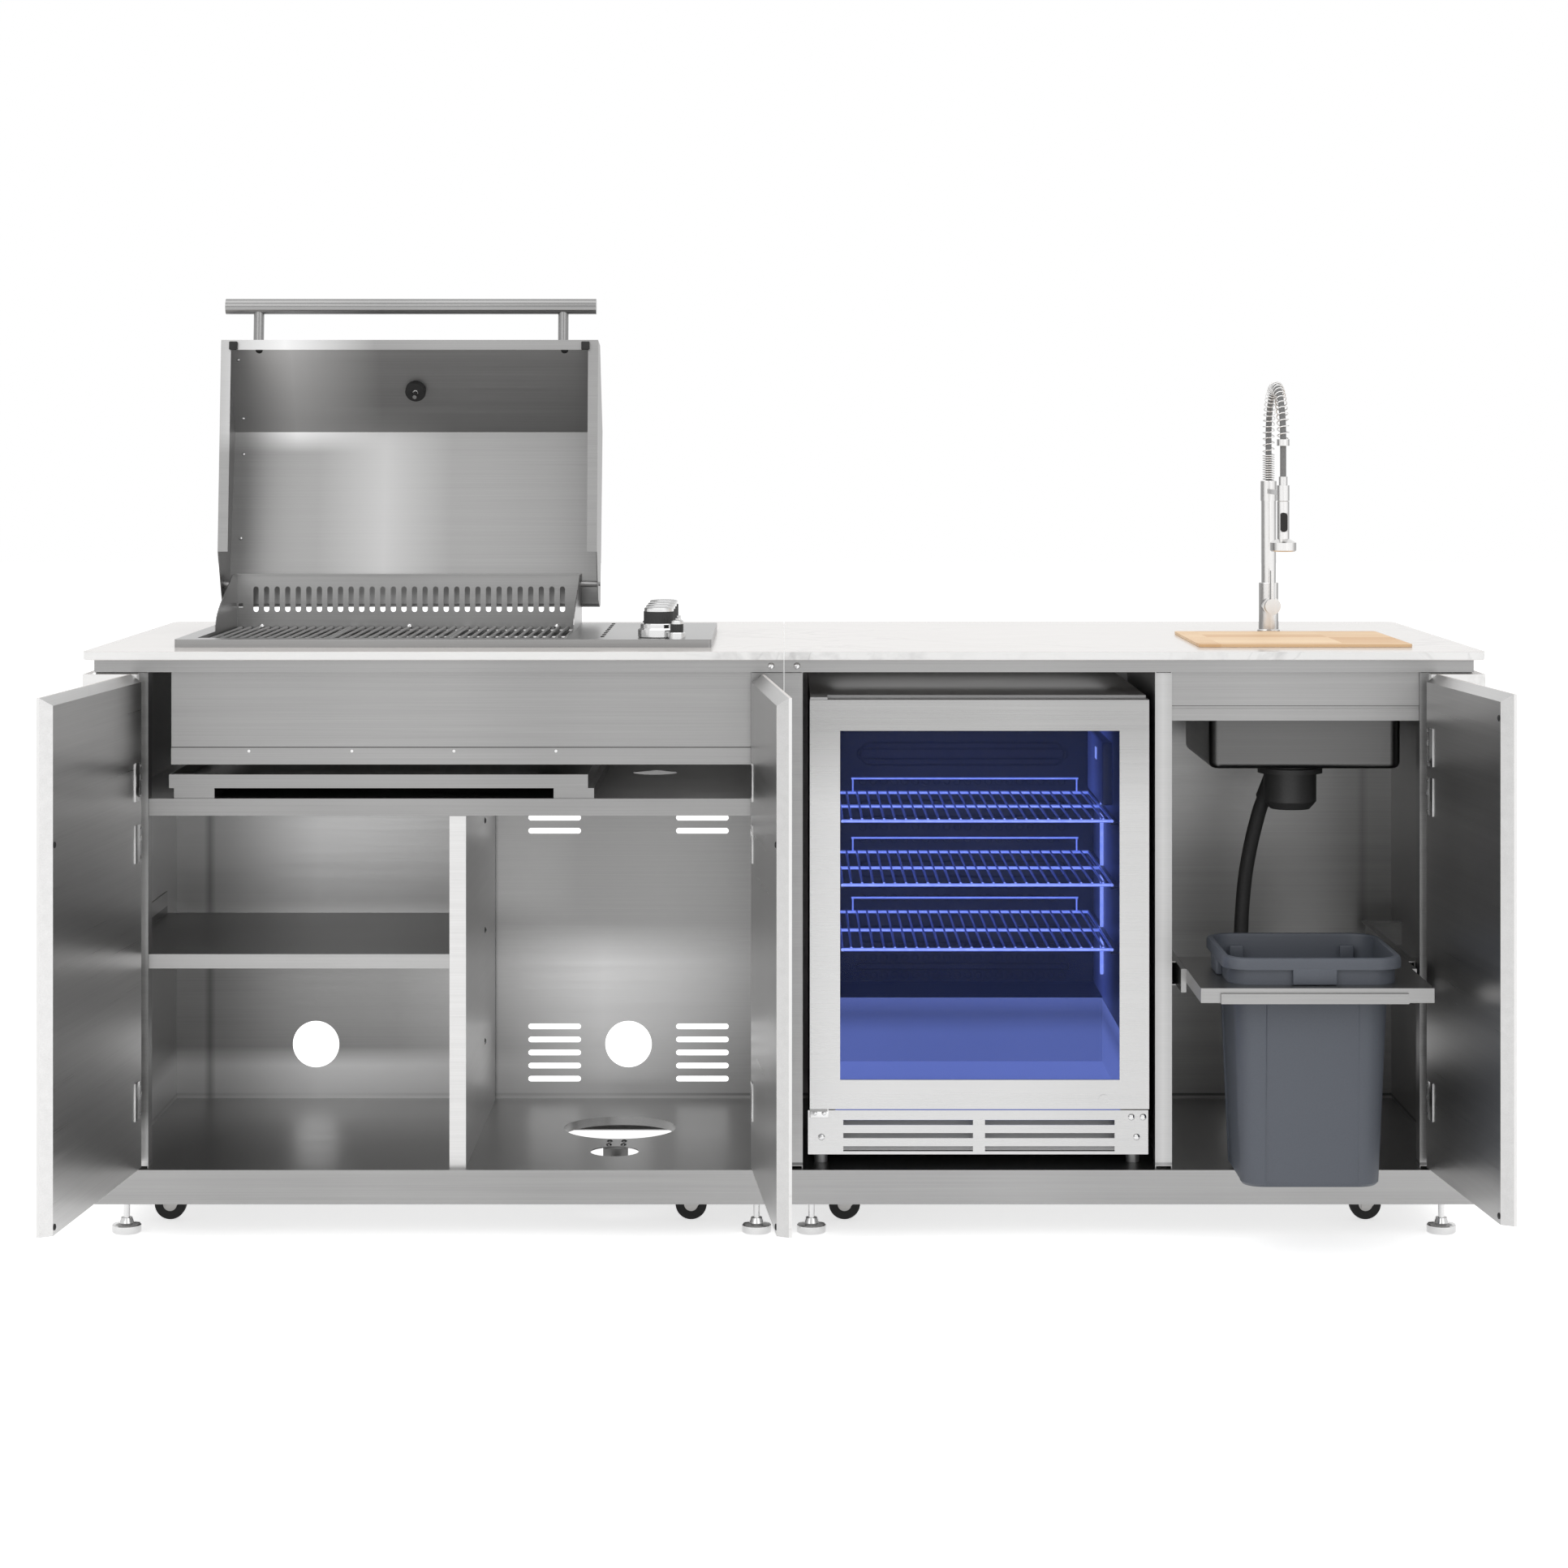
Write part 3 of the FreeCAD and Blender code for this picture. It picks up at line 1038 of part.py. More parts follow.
def hood():
    """The lid: a folded sheet with two side walls, open below, its front rim turned in."""
    t = HOOD_T
    outline = list(HOOD_OUTLINE)
    shell = profile_x(outline, HOOD_X0, HOOD_X1)
    inner = inset_outline(outline, t)
    rear_y, rear_z = inner[5][0], HOOD_OUTLINE[5][1]
    below = (rear_y + 3, 1000.0)
    hollow = [(inner[1][0], below[1])] + inner[1:5] + [(rear_y, rear_z), (below[0], rear_z), below]
    body = cut(shell, [profile_x(hollow, HOOD_X0 + t, HOOD_X1 - t)])
    y0, z0 = HOOD_OUTLINE[1]
    rim = box(HOOD_X0, HOOD_X1, y0, y0 + HOOD_RIM_D, z0, z0 + t)
    pieces = [body, rim]
    for x, side in ((HOOD_X0, 1), (HOOD_X1, -1)):
        pieces.append(box(x, x + side * HOOD_RIM_D, y0, HOOD_OUTLINE[0][0], z0, z0 + t))
        mid = x + side * BUMP_IN
        pieces.append(box(mid - BUMP_BLOCK / 2, mid + BUMP_BLOCK / 2, y0 + 4, y0 + 4 + BUMP_BLOCK,
                          GRILL_Z + BUMP_GAP, z0 + t))
    bore = HOOD_PIN_R - 2 + HINGE_FIT
    pin = rod(bore, (HOOD_X0 - 1, HOOD_PIN_Y, HOOD_PIN_Z), (HOOD_X1 + 1, HOOD_PIN_Y, HOOD_PIN_Z))
    return opened_hood(cut(fuse(pieces), [pin, gauge_hole()]))


def hood_handle():
    middle = (HOOD_X0 + HOOD_X1) / 2
    y, z = HOOD_OUTLINE[1]
    bar_y, bar_z = y - HANDLE_OFF, z + HANDLE_UP
    bar = rod(HANDLE_BAR_R, (middle - HANDLE_LEN / 2, bar_y, bar_z), (middle + HANDLE_LEN / 2, bar_y, bar_z))
    lean = (HOOD_OUTLINE[2][0] - y) * HANDLE_UP / (HOOD_OUTLINE[2][1] - z)
    posts = [rod(HANDLE_POST_R, (middle + dx, bar_y, bar_z), (middle + dx, y + lean - 0.3, bar_z))
             for dx in (-HANDLE_POST_X, HANDLE_POST_X)]
    return opened_hood(fuse([bar] + posts))


def thermometer():
    """The dial on the slanted front of the hood, with its probe and nut inside."""
    (y0, z0), (y1, z1) = HOOD_OUTLINE[2], HOOD_OUTLINE[3]
    face = Vector(0, y1 - y0, z1 - z0).normalize()
    out = Vector(0, -face.z, face.y)
    x = (HOOD_X0 + HOOD_X1) / 2
    seat = Vector(x, (y0 + y1) / 2, (z0 + z1) / 2)
    dial = Part.makeCylinder(GAUGE_R, GAUGE_T - 3, seat + out * 0.02, out)
    dial = dial.fuse(Part.makeCone(GAUGE_R, GAUGE_R - 3, 3, seat + out * (GAUGE_T - 2.98), out))
    stem = Part.makeCylinder(GAUGE_STEM_R, HOOD_T + GAUGE_NUT_T + 20, seat + out * 1, out * -1)
    nut = Part.makeCylinder(GAUGE_NUT_R, GAUGE_NUT_T, seat - out * (HOOD_T + 0.02), out * -1)
    return opened_hood(fuse([dial, stem, nut]))


def gauge_hole():
    (y0, z0), (y1, z1) = HOOD_OUTLINE[2], HOOD_OUTLINE[3]
    face = Vector(0, y1 - y0, z1 - z0).normalize()
    out = Vector(0, -face.z, face.y)
    seat = Vector((HOOD_X0 + HOOD_X1) / 2, (y0 + y1) / 2, (z0 + z1) / 2)
    return Part.makeCylinder(GAUGE_STEM_R + 0.1, 20, seat + out * 10, out * -1)


def drip_tray():
    """The shallow pan under the fire, hung on the shelf's rails and drawn out to the front."""
    x0, x1 = TRAY_X0, TRAY_X1
    y0, y1 = SHELF_FRONT_Y, SHELF_FRONT_Y + TRAY_D
    z0 = HEAT_SHELF_Z + TRAY_RAIL_H + TRAY_LIFT
    z1, t = z0 + TRAY_H, TRAY_T
    pan = box(x0, x1, y0, y1, z0, z1).cut(box(x0 + t, x1 - t, y0 + t, y1 - t, z0 + t, z1 + 1))
    return fuse([pan, box(x0, x1, y0, y0 + 12, z1 - t, z1)])


# Sink

def sink_bowl():
    """The undermount bowl with round corners, its lip flat against the underside of the stone."""
    x0, x1 = SINK_X - SINK_W / 2, SINK_X + SINK_W / 2
    y0, y1 = SINK_Y - SINK_D / 2, SINK_Y + SINK_D / 2
    z0, z1, t = SLAB_Z - SINK_DEPTH, SLAB_Z, SINK_T
    outer = rounded_block(x0, x1, y0, y1, z0, z1, SINK_R)
    floor_edges = [e for e in outer.Edges if e.BoundBox.ZMax < z0 + 0.01]
    outer = outer.makeFillet(SINK_R * 0.6, floor_edges)
    inner = rounded_block(x0 + t, x1 - t, y0 + t, y1 - t, z0 + t, z1 + 30, SINK_R - t)
    floor_edges = [e for e in inner.Edges if e.BoundBox.ZMax < z0 + t + 0.01]
    inner = inner.makeFillet(SINK_R * 0.6 - t, floor_edges)
    lip = rounded_block(x0 - SINK_LIP, x1 + SINK_LIP, y0 - SINK_LIP, y1 + SINK_LIP, z1 - t, z1, SINK_R)
    hole = rod(DRAIN_HOLE_R, (SINK_X, SINK_Y, z0 - 5), (SINK_X, SINK_Y, z0 + 10))
    return cut(fuse([outer, lip]), [inner, hole])


def sink_drain():
    """The strainer flange, the cup below the bowl and its side outlet for the hose."""
    z0, t = SLAB_Z - SINK_DEPTH, TRAP_T
    rim = z0 - DRAIN_NECK_H
    cup_top = rim - DRAIN_FLANGE_H
    low = cup_top - TRAP_H
    neck_r, clamp_z = DRAIN_HOLE_R + 6, z0 + SINK_T
    cup = revolved([(0, low), (TRAP_R - 12, low), (TRAP_R, low + 14), (TRAP_R, cup_top),
                    (DRAIN_FLANGE_R, cup_top), (DRAIN_FLANGE_R, rim), (neck_r, rim), (neck_r, z0),
                    (DRAIN_HOLE_R, z0), (DRAIN_HOLE_R, clamp_z), (neck_r, clamp_z),
                    (neck_r, clamp_z + 1.5), (DRAIN_HOLE_R - 6, clamp_z + 1.5),
                    (DRAIN_HOLE_R - 6, z0 - 8), (TRAP_R - t - 3, cup_top - 8),
                    (TRAP_R - t, low + 15), (TRAP_R - 13, low + t), (0, low + t)], SINK_X, SINK_Y)
    start, first = Vector(*HOSE_POINTS[0]), Vector(*HOSE_POINTS[1])
    along = (first - start).normalize()
    outlet = rod(OUTLET_R, start - along * OUTLET_L, start)
    bore = rod(HOSE_BORE_R, start - along * (OUTLET_L + OUTLET_R), start + along)
    core = rod(TRAP_R - t - 1, (SINK_X, SINK_Y, low + t + 1), (SINK_X, SINK_Y, cup_top - 1))
    spigot = outlet.cut(core)
    return cut(fuse([cup, spigot]), [bore])


def tube_route(points, radius):
    """Straight runs joined by arcs that are tangent to them, as one wire."""
    edges = []
    at = Vector(*points[0])
    corners = [Vector(*p) for p in points]
    for i in range(1, len(corners) - 1):
        here = corners[i]
        back, ahead = corners[i - 1] - here, corners[i + 1] - here
        u, v = Vector(back).normalize(), Vector(ahead).normalize()
        turn = math.pi - u.getAngle(v)
        reach = 0.45 * min(back.Length, ahead.Length)
        bend = reach / math.tan(turn / 2)
        centre_way = (u + v).normalize()
        centre = here + centre_way * (bend / math.cos(turn / 2))
        start, end = here + u * reach, here + v * reach
        middle = centre - centre_way * bend
        edges.append(Part.makeLine(at, start))
        edges.append(Part.Arc(start, middle, end).toShape())
        at = end
    edges.append(Part.makeLine(at, corners[-1]))
    return Part.Wire(edges)


def swept(wire, radius):
    start = wire.Edges[0].Vertexes[0].Point
    way = wire.Edges[0].tangentAt(wire.Edges[0].FirstParameter)
    ring = Part.Wire(Part.makeCircle(radius, start, way))
    return wire.makePipeShell([ring], True, False)


def drain_hose():
    """The waste hose from the strainer's outlet down through the cabinet's floor."""
    wire = tube_route(HOSE_POINTS, HOSE_R)
    return swept(wire, HOSE_R).cut(swept(wire, HOSE_BORE_R))


def cutting_board():
    """A lift-out board: a plate over the sink's edge and a block that drops into the cut-out."""
    z0 = TOP_Z + 0.3
    plate = rounded_block(SINK_X - BOARD_W / 2, SINK_X + BOARD_W / 2, SINK_Y - BOARD_D / 2,
                          SINK_Y + BOARD_D / 2, z0, z0 + BOARD_PROUD, BOARD_R)
    block = rounded_block(*sink_cut_outline(-BOARD_CLEAR), z0 - BOARD_DEEP, z0 + 1, SINK_R - BOARD_CLEAR)
    return fuse([plate, block])


# Faucet

def faucet_base():
    """The fixed body with its flange, shank and nut, the spout's spigot and the lever's boss."""
    x, y = FAUCET_X, FAUCET_Y
    top = FAUCET_BODY_Z
    body = revolved([
        (0, TOP_Z), (FAUCET_FLANGE_R, TOP_Z), (FAUCET_FLANGE_R, TOP_Z + FAUCET_FLANGE_H - 1.5),
        (FAUCET_FLANGE_R - 1.5, TOP_Z + FAUCET_FLANGE_H), (FAUCET_BODY_R, TOP_Z + FAUCET_FLANGE_H),
        (FAUCET_BODY_R, top - 1), (FAUCET_BODY_R - 1, top), (FAUCET_SPIGOT_R, top),
        (FAUCET_SPIGOT_R, top + FAUCET_SPIGOT_L), (0, top + FAUCET_SPIGOT_L),
    ], x, y)
    shank = rod(SHANK_R, (x, y, SLAB_Z - SHANK_NUT_H - 22), (x, y, TOP_Z + 1))
    nut = rod(SHANK_NUT_R, (x, y, SLAB_Z - SHANK_NUT_H), (x, y, SLAB_Z))
    boss = rod(LEVER_BOSS_R, (x, y, LEVER_Z), (x, LEVER_BOSS_Y, LEVER_Z))
    bore = rod(LEVER_PIN_R + FAUCET_FIT, (x, LEVER_BOSS_Y - 1, LEVER_Z),
               (x, LEVER_BOSS_Y + LEVER_PIN_L + 1, LEVER_Z))
    return cut(fuse([body, shank, nut, boss]), [bore])


def faucet_lever():
    """The mixer lever: a disc on a pin in the boss, with an upright stick."""
    x, y0, y1 = FAUCET_X, LEVER_DISC_Y, LEVER_BOSS_Y - FAUCET_GAP
    disc = rod(LEVER_DISC_R, (x, y0, LEVER_Z), (x, y1, LEVER_Z))
    pin = rod(LEVER_PIN_R, (x, y1 - 1, LEVER_Z), (x, LEVER_BOSS_Y + LEVER_PIN_L, LEVER_Z))
    hub = rod(LEVER_DISC_R - 3, (x, y0 - 9, LEVER_Z), (x, y0 + 1, LEVER_Z))
    stick = rod(LEVER_STICK_R, (x, y0 - 3.5, LEVER_Z), (x, y0 - 3.5, LEVER_TOP_Z))
    return fuse([disc, pin, hub, stick])


def faucet_neck():
    """The swivelling tube with its collar and the arm and ring that hold the spray head."""
    x, y = FAUCET_X, FAUCET_Y
    z0 = FAUCET_BODY_Z + FAUCET_GAP
    bore_r, bore_top = FAUCET_SPIGOT_R + FAUCET_FIT, FAUCET_BODY_Z + FAUCET_SPIGOT_L + 1
    tube = revolved([
        (bore_r, z0), (FAUCET_TUBE_R, z0), (FAUCET_TUBE_R, FAUCET_COLLAR_Z),
        (FAUCET_COLLAR_R, FAUCET_COLLAR_Z), (FAUCET_COLLAR_R, FAUCET_COLLAR_TOP_Z - 1),
        (FAUCET_COLLAR_R - 1, FAUCET_COLLAR_TOP_Z), (SPRAY_HOSE_R, FAUCET_COLLAR_TOP_Z),
        (SPRAY_HOSE_R, bore_top + 8), (bore_r, bore_top),
    ], x, y)
    mid_z = (DOCK_Z[0] + DOCK_Z[1]) / 2
    half = DOCK_ARM_W / 2
    arm = box(x - half, x + half, SPOUT_Y + DOCK_BORE_R + 1, y - FAUCET_TUBE_R + 2,
              mid_z - half, mid_z + half)
    ring = rod(DOCK_R, (x, SPOUT_Y, DOCK_Z[0]), (x, SPOUT_Y, DOCK_Z[1]))
    hole = rod(DOCK_BORE_R, (x, SPOUT_Y, DOCK_Z[0] - 1), (x, SPOUT_Y, DOCK_Z[1] + 1))
    return cut(fuse([tube, arm, ring]), [hole])


def spout_guide(distance):
    """Place, direction and sideways direction along the spout's line, from the collar's top."""
    rise = ARCH_Z - FAUCET_COLLAR_TOP_Z
    sideways = Vector(1, 0, 0)
    if distance <= rise:
        return Vector(FAUCET_X, FAUCET_Y, FAUCET_COLLAR_TOP_Z + distance), Vector(0, 0, 1), sideways
    angle = (distance - rise) / ARCH_R
    if angle <= math.pi:
        centre = Vector(FAUCET_X, FAUCET_Y - ARCH_R, ARCH_Z)
        place = centre + Vector(0, math.cos(angle), math.sin(angle)) * ARCH_R
        return place, Vector(0, -math.sin(angle), math.cos(angle)), sideways
    drop = distance - rise - math.pi * ARCH_R
    return Vector(FAUCET_X, SPOUT_Y, ARCH_Z - drop), Vector(0, 0, -1), sideways


def biarc(p0, t0, p1, t1):
    """Two arcs from p0 to p1 that leave along t0 and arrive along t1."""
    v = p1 - p0
    a = 2 * (1 - t0.dot(t1))
    b = 2 * v.dot(t0 + t1)
    c = -v.dot(v)
    d = (-b + math.sqrt(b * b - 4 * a * c)) / (2 * a) if a > 1e-9 else -c / b
    q = (p0 + t0 * d + p1 - t1 * d) * 0.5
    return [tangent_arc(p0, t0, q), tangent_arc(q, None, p1, t1)]


def tangent_arc(start, leaving, end, arriving=None):
    chord = end - start
    way = Vector(chord).normalize()
    tangent = leaving if leaving is not None else arriving
    bend = tangent.getAngle(way)
    side = tangent - way * tangent.dot(way)
    if side.Length < 1e-7:
        return Part.makeLine(start, end)
    side = side.normalize() * (1 if leaving is not None else -1)
    middle = start + chord * 0.5 + side * (chord.Length / 2 * math.tan(bend / 2))
    return Part.Arc(start, middle, end).toShape()


def coil_stations():
    """The places along the spout's line, a half turn apart, at which the wire is set out."""
    places = [COIL_WIRE_R]
    dense_end = COIL_WIRE_R + DENSE_TURNS * DENSE_PITCH
    end = ARCH_Z - FAUCET_COLLAR_TOP_Z + math.pi * ARCH_R - COIL_WIRE_R
    for _ in range(2 * DENSE_TURNS):
        places.append(places[-1] + DENSE_PITCH / 2)
    loose = int(round((end - dense_end) / (OPEN_PITCH / 2)))
    for i in range(1, loose + 1):
        places.append(dense_end + (end - dense_end) * i / loose)
    return places


def coil_wire():
    places = coil_stations()
    points = []
    for i, s in enumerate(places):
        centre, ahead, sideways = spout_guide(s)
        other = ahead.cross(sideways)
        turn = math.pi * i
        radial = sideways * math.cos(turn) + other * math.sin(turn)
        around = other * math.cos(turn) - sideways * math.sin(turn)
        step = (places[min(i + 1, len(places) - 1)] - places[max(i - 1, 0)])
        if 0 < i < len(places) - 1:
            step = step / 2
        climb = ahead * (step / (math.pi * COIL_R))
        points.append((centre + radial * COIL_R, (around + climb).normalize()))
    edges = []
    for (p0, t0), (p1, t1) in zip(points, points[1:]):
        edges += biarc(p0, t0, p1, t1)
    return Part.Wire(edges)


def coil_gap(wire):
    """The least clear distance between the spring's turns, from points set out along its wire."""
    points = wire.discretize(Distance=COIL_POINT_STEP)
    half_turn = int(math.pi * COIL_R / COIL_POINT_STEP)
    nearest = min(point.distanceToPoint(other)
                  for i, point in enumerate(points) for other in points[i + half_turn:])
    return nearest - 2 * COIL_WIRE_R


def faucet_spring():
    """The spring round the spray hose, close wound at its foot, and the ring that ends it."""
    wire = coil_wire()
    print("Least gap between the spring's turns: %.2f mm" % coil_gap(wire))
    coil = swept(wire, COIL_WIRE_R)
    low = ARCH_Z - END_RING_H + 11
    ring = rod(END_RING_R, (FAUCET_X, SPOUT_Y, low - 11), (FAUCET_X, SPOUT_Y, low + 1))
    hole = rod(SPRAY_HOSE_R, (FAUCET_X, SPOUT_Y, low - 12), (FAUCET_X, SPOUT_Y, low + 2))
    return group([fuse([coil, ring.cut(hole)])])


def spray_hose():
    """The hose inside the spring, from the collar over the arch and down into the spray head."""
    x, y = FAUCET_X, FAUCET_Y
    a, b = Vector(x, y, FAUCET_COLLAR_TOP_Z - 20), Vector(x, y, ARCH_Z)
    c, d = Vector(x, SPOUT_Y, ARCH_Z), Vector(x, SPOUT_Y, HEAD_TOP_Z - HEAD_BORE_DEPTH + 3)
    over = Part.Arc(b, Vector(x, y - ARCH_R, ARCH_Z + ARCH_R), c).toShape()
    wire = Part.Wire([Part.makeLine(a, b), over, Part.makeLine(c, d)])
    return swept(wire, SPRAY_HOSE_R)


def spray_head():
    """The pull-down head: a neck through the dock ring, a grip and a wide spray face."""
    x, y = FAUCET_X, SPOUT_Y
    bore = SPRAY_HOSE_R + HEAD_BORE_CLEAR
    floor_z = HEAD_TOP_Z - HEAD_BORE_DEPTH
    body = revolved([
        (0, floor_z), (bore, floor_z), (bore, HEAD_TOP_Z), (HEAD_NECK_R, HEAD_TOP_Z),
        (HEAD_NECK_R, HEAD_SHOULDER_Z), (HEAD_R - 1, HEAD_SHOULDER_Z), (HEAD_R, HEAD_SHOULDER_Z - 1),
        (HEAD_R, HEAD_CONE_Z), (HEAD_DISC_R, HEAD_DISC_Z), (HEAD_DISC_R, HEAD_BOTTOM_Z + 2),
        (HEAD_DISC_R - 2, HEAD_BOTTOM_Z), (0, HEAD_BOTTOM_Z),
    ], x, y)
    half, fit = SPRAY_BUTTON_W / 2, SPRAY_BUTTON_FIT
    pocket_y = y - HEAD_R + SPRAY_BUTTON_IN + SPRAY_BUTTON_TRAVEL
    pocket = box(x - half - fit, x + half + fit, y - HEAD_R - 1, pocket_y,
                 SPRAY_BUTTON_Z[0] - fit, SPRAY_BUTTON_Z[1] + fit)
    return cut(body, [pocket])


def spray_button():
    x, y = FAUCET_X, SPOUT_Y
    half = SPRAY_BUTTON_W / 2
    z0, z1 = SPRAY_BUTTON_Z
    back, front = y - HEAD_R + SPRAY_BUTTON_IN, y - HEAD_R - SPRAY_BUTTON_PROUD
    core = box(x - half, x + half, front, back, z0 + half, z1 - half)
    ends = [rod(half, (x, front, z), (x, back, z)) for z in (z0 + half, z1 - half)]
    return fuse([core] + ends)


# Refrigerator

def fridge_cabinet():
    """The insulated body: steel skin outside, liner inside, a step at the back and two hinge leaves."""
    x0, x1, y0, y1 = FRIDGE_BODY_X0, FRIDGE_BODY_X1, FRIDGE_BODY_Y0, FRIDGE_BODY_Y1
    z0, z1, skin, wall = FRIDGE_BOTTOM_Z, FRIDGE_TOP_Z, FRIDGE_SKIN, FRIDGE_WALL
    c0, c1 = x0 + wall, x1 - wall
    back, step_y = y0 + FRIDGE_CAVITY_D, y0 + FRIDGE_CAVITY_D - FRIDGE_STEP_D
    low, high = FRIDGE_CAVITY_Z

    def cavity(grow):
        room = box(c0 - grow, c1 + grow, y0 - 1, back + grow, low - grow, high + grow)
        step = box(c0 - grow, c1 + grow, step_y + grow, back + grow, low - grow, FRIDGE_STEP_Z - grow)
        return room.cut(step)

    block = box(x0, x1, y0, y1, z0, z1)
    filling = box(x0 + skin, x1 - skin, y0 + skin, y1 - skin, z0 + skin, z1 - skin).cut(cavity(skin))
    body = block.cut([filling, cavity(0)])
    pieces = [body]
    for z in FRIDGE_SHELF_Z:
        top = z - SHELF_FRAME_R
        for xa, xb in ((c0, c0 + 15), (c1 - 15, c1)):
            pieces.append(box(xa, xb, FRIDGE_SHELF_Y0 - 6, back, top - FRIDGE_LEDGE_T, top))
    for fx in (x0 + FRIDGE_FOOT_IN, x1 - FRIDGE_FOOT_IN):
        for fy in (y0 + 40, y1 - 40):
            pieces.append(rod(FRIDGE_FOOT_R, (fx, fy, FLOOR_Z), (fx, fy, z0)))
    for leaf_z, pin_z in fridge_leaves():
        leaf_x = FRIDGE_HINGE_X - FRIDGE_LEAF_BACK
        pieces.append(box(leaf_x, leaf_x + FRIDGE_HINGE_W, FRIDGE_DOOR_Y0, y0 + skin,
                          leaf_z, leaf_z + FRIDGE_LEAF_T))
        pieces.append(rod(FRIDGE_PIN_R, (FRIDGE_HINGE_X, FRIDGE_HINGE_Y, leaf_z + 1),
                          (FRIDGE_HINGE_X, FRIDGE_HINGE_Y, pin_z)))
    return fuse(pieces)


def fridge_leaves():
    """Each hinge leaf's underside and the far end of its pin, below and above the door."""
    low, high = FRIDGE_DOOR_Z
    below = low - FRIDGE_LEAF_GAP - FRIDGE_LEAF_T
    above = high + FRIDGE_LEAF_GAP
    return ((below, low + FRIDGE_PIN_L), (above, high - FRIDGE_PIN_L))


def fridge_shelves():
    """Three wire shelves with a raised guard rail at the back."""
    x0, x1 = FRIDGE_BODY_X0 + FRIDGE_WALL + 12, FRIDGE_BODY_X1 - FRIDGE_WALL - 12
    y0, y1 = FRIDGE_SHELF_Y0, FRIDGE_SHELF_Y0 + FRIDGE_SHELF_D
    r, w = SHELF_FRAME_R, SHELF_WIRE_R
    shelves = []
    for z in FRIDGE_SHELF_Z:
        wires = [rod(r, (x0, y, z), (x1, y, z)) for y in (y0, (y0 + y1) / 2, y1)]
        wires += [rod(r - 0.5, (x, y0 - r - 1, z), (x, y1 + r + 1, z)) for x in (x0, x1)]
        middle = (x0 + x1) / 2
        for i in range(SHELF_WIRE_N):
            x = middle + (i - (SHELF_WIRE_N - 1) / 2) * SHELF_WIRE_PITCH
            wires.append(rod(w, (x, y0, z + r - 0.2), (x, y1, z + r - 0.2)))
        g0, g1 = FRIDGE_GUARD_X
        shelves.append(wires[0].multiFuse(wires[1:]))
        rail = [rod(w, (g0 - r, y1, z + FRIDGE_GUARD_H), (g1 + r, y1, z + FRIDGE_GUARD_H))]
        rail += [rod(w - 0.3, (x, y1, z + r + 0.02), (x, y1, z + FRIDGE_GUARD_H)) for x in (g0, g1)]
        shelves.append(rail[0].multiFuse(rail[1:]))
    return group(shelves)


def fridge_grille():
    """The kick plate under the refrigerator's door, with two rows of three slots."""
    x0, x1 = FRIDGE_X0 - 3, FRIDGE_X1
    z0, z1 = KICK_Z
    plate = box(x0, x1, KICK_Y0, KICK_Y0 + KICK_T, z0, z1)
    returns = [box(a, a + KICK_T, KICK_Y0, FRIDGE_BODY_Y0, z0, z1)
               for a in (FRIDGE_BODY_X0, FRIDGE_BODY_X1 - KICK_T)]
    middle = (FRIDGE_X0 + FRIDGE_X1) / 2
    cuts = []
    for side in (-1, 1):
        inner = middle + side * KICK_SLOT_GAP / 2
        for row in range(KICK_SLOT_ROWS):
            z = KICK_SLOT_TOP - row * KICK_SLOT_PITCH
            cuts.append(box(inner, inner + side * KICK_SLOT_W, KICK_Y0 - 1, KICK_Y0 + KICK_T + 1,
                            z - KICK_SLOT_H, z))
    return cut(fuse([plate] + returns), cuts + bolt_holes(KICK_BOLTS))


def fridge_door():
    """The hollow steel door frame with its seal, its lock and the blocks for the hinge pins."""
    x0, x1 = FRIDGE_X0, FRIDGE_X1
    y0, y1 = FRIDGE_DOOR_Y0, FRIDGE_DOOR_Y0 + FRIDGE_DOOR_T
    z0, z1 = FRIDGE_DOOR_Z
    g0, g1 = FRIDGE_GLASS_X
    h0, h1 = FRIDGE_GLASS_Z
    s, m = FRIDGE_SKIN, FRIDGE_GLASS_REBATE
    window = box(g0, g1, y0 - 1, y1 + 1, h0, h1)
    rebate = box(g0 - m, g1 + m, y0 + FRIDGE_GLASS_SET, y1 + 1, h0 - m, h1 + m)
    space = box(x0 + s, x1 - s, y0 + s, y1 - s, z0 + s, z1 - s)
    core = box(g0 - m - s, g1 + m + s, y0, y1, h0 - m - s, h1 + m + s)
    block = 11
    pins = [box(FRIDGE_HINGE_X - block, FRIDGE_HINGE_X + block, y0 + s, y0 + s + 2 * block, za, zb)
            for za, zb in ((z0, z0 + FRIDGE_PIN_L + 6), (z1 - FRIDGE_PIN_L - 6, z1))]
    frame = box(x0, x1, y0, y1, z0, z1).cut([space.cut([core] + pins), window, rebate])
    e, w, t = FRIDGE_SEAL_IN, FRIDGE_SEAL_W, FRIDGE_SEAL_T
    seal = box(x0 + e, x1 - e, y1, y1 + t, z0 + e, z1 - e).cut(
        box(x0 + e + w, x1 - e - w, y1, y1 + t, z0 + e + w, z1 - e - w))
    lock = rod(LOCK_R, (LOCK_X, y0 - LOCK_PROUD, LOCK_Z), (LOCK_X, y0 + 1, LOCK_Z))
    bore_r = FRIDGE_PIN_R + FRIDGE_PIN_FIT
    bores = [rod(bore_r, (FRIDGE_HINGE_X, FRIDGE_HINGE_Y, za), (FRIDGE_HINGE_X, FRIDGE_HINGE_Y, zb))
             for za, zb in ((z0 - 1, z0 + FRIDGE_PIN_L + 1), (z1 - FRIDGE_PIN_L - 1, z1 + 1))]
    return cut(fuse([frame, seal, lock]), bores)


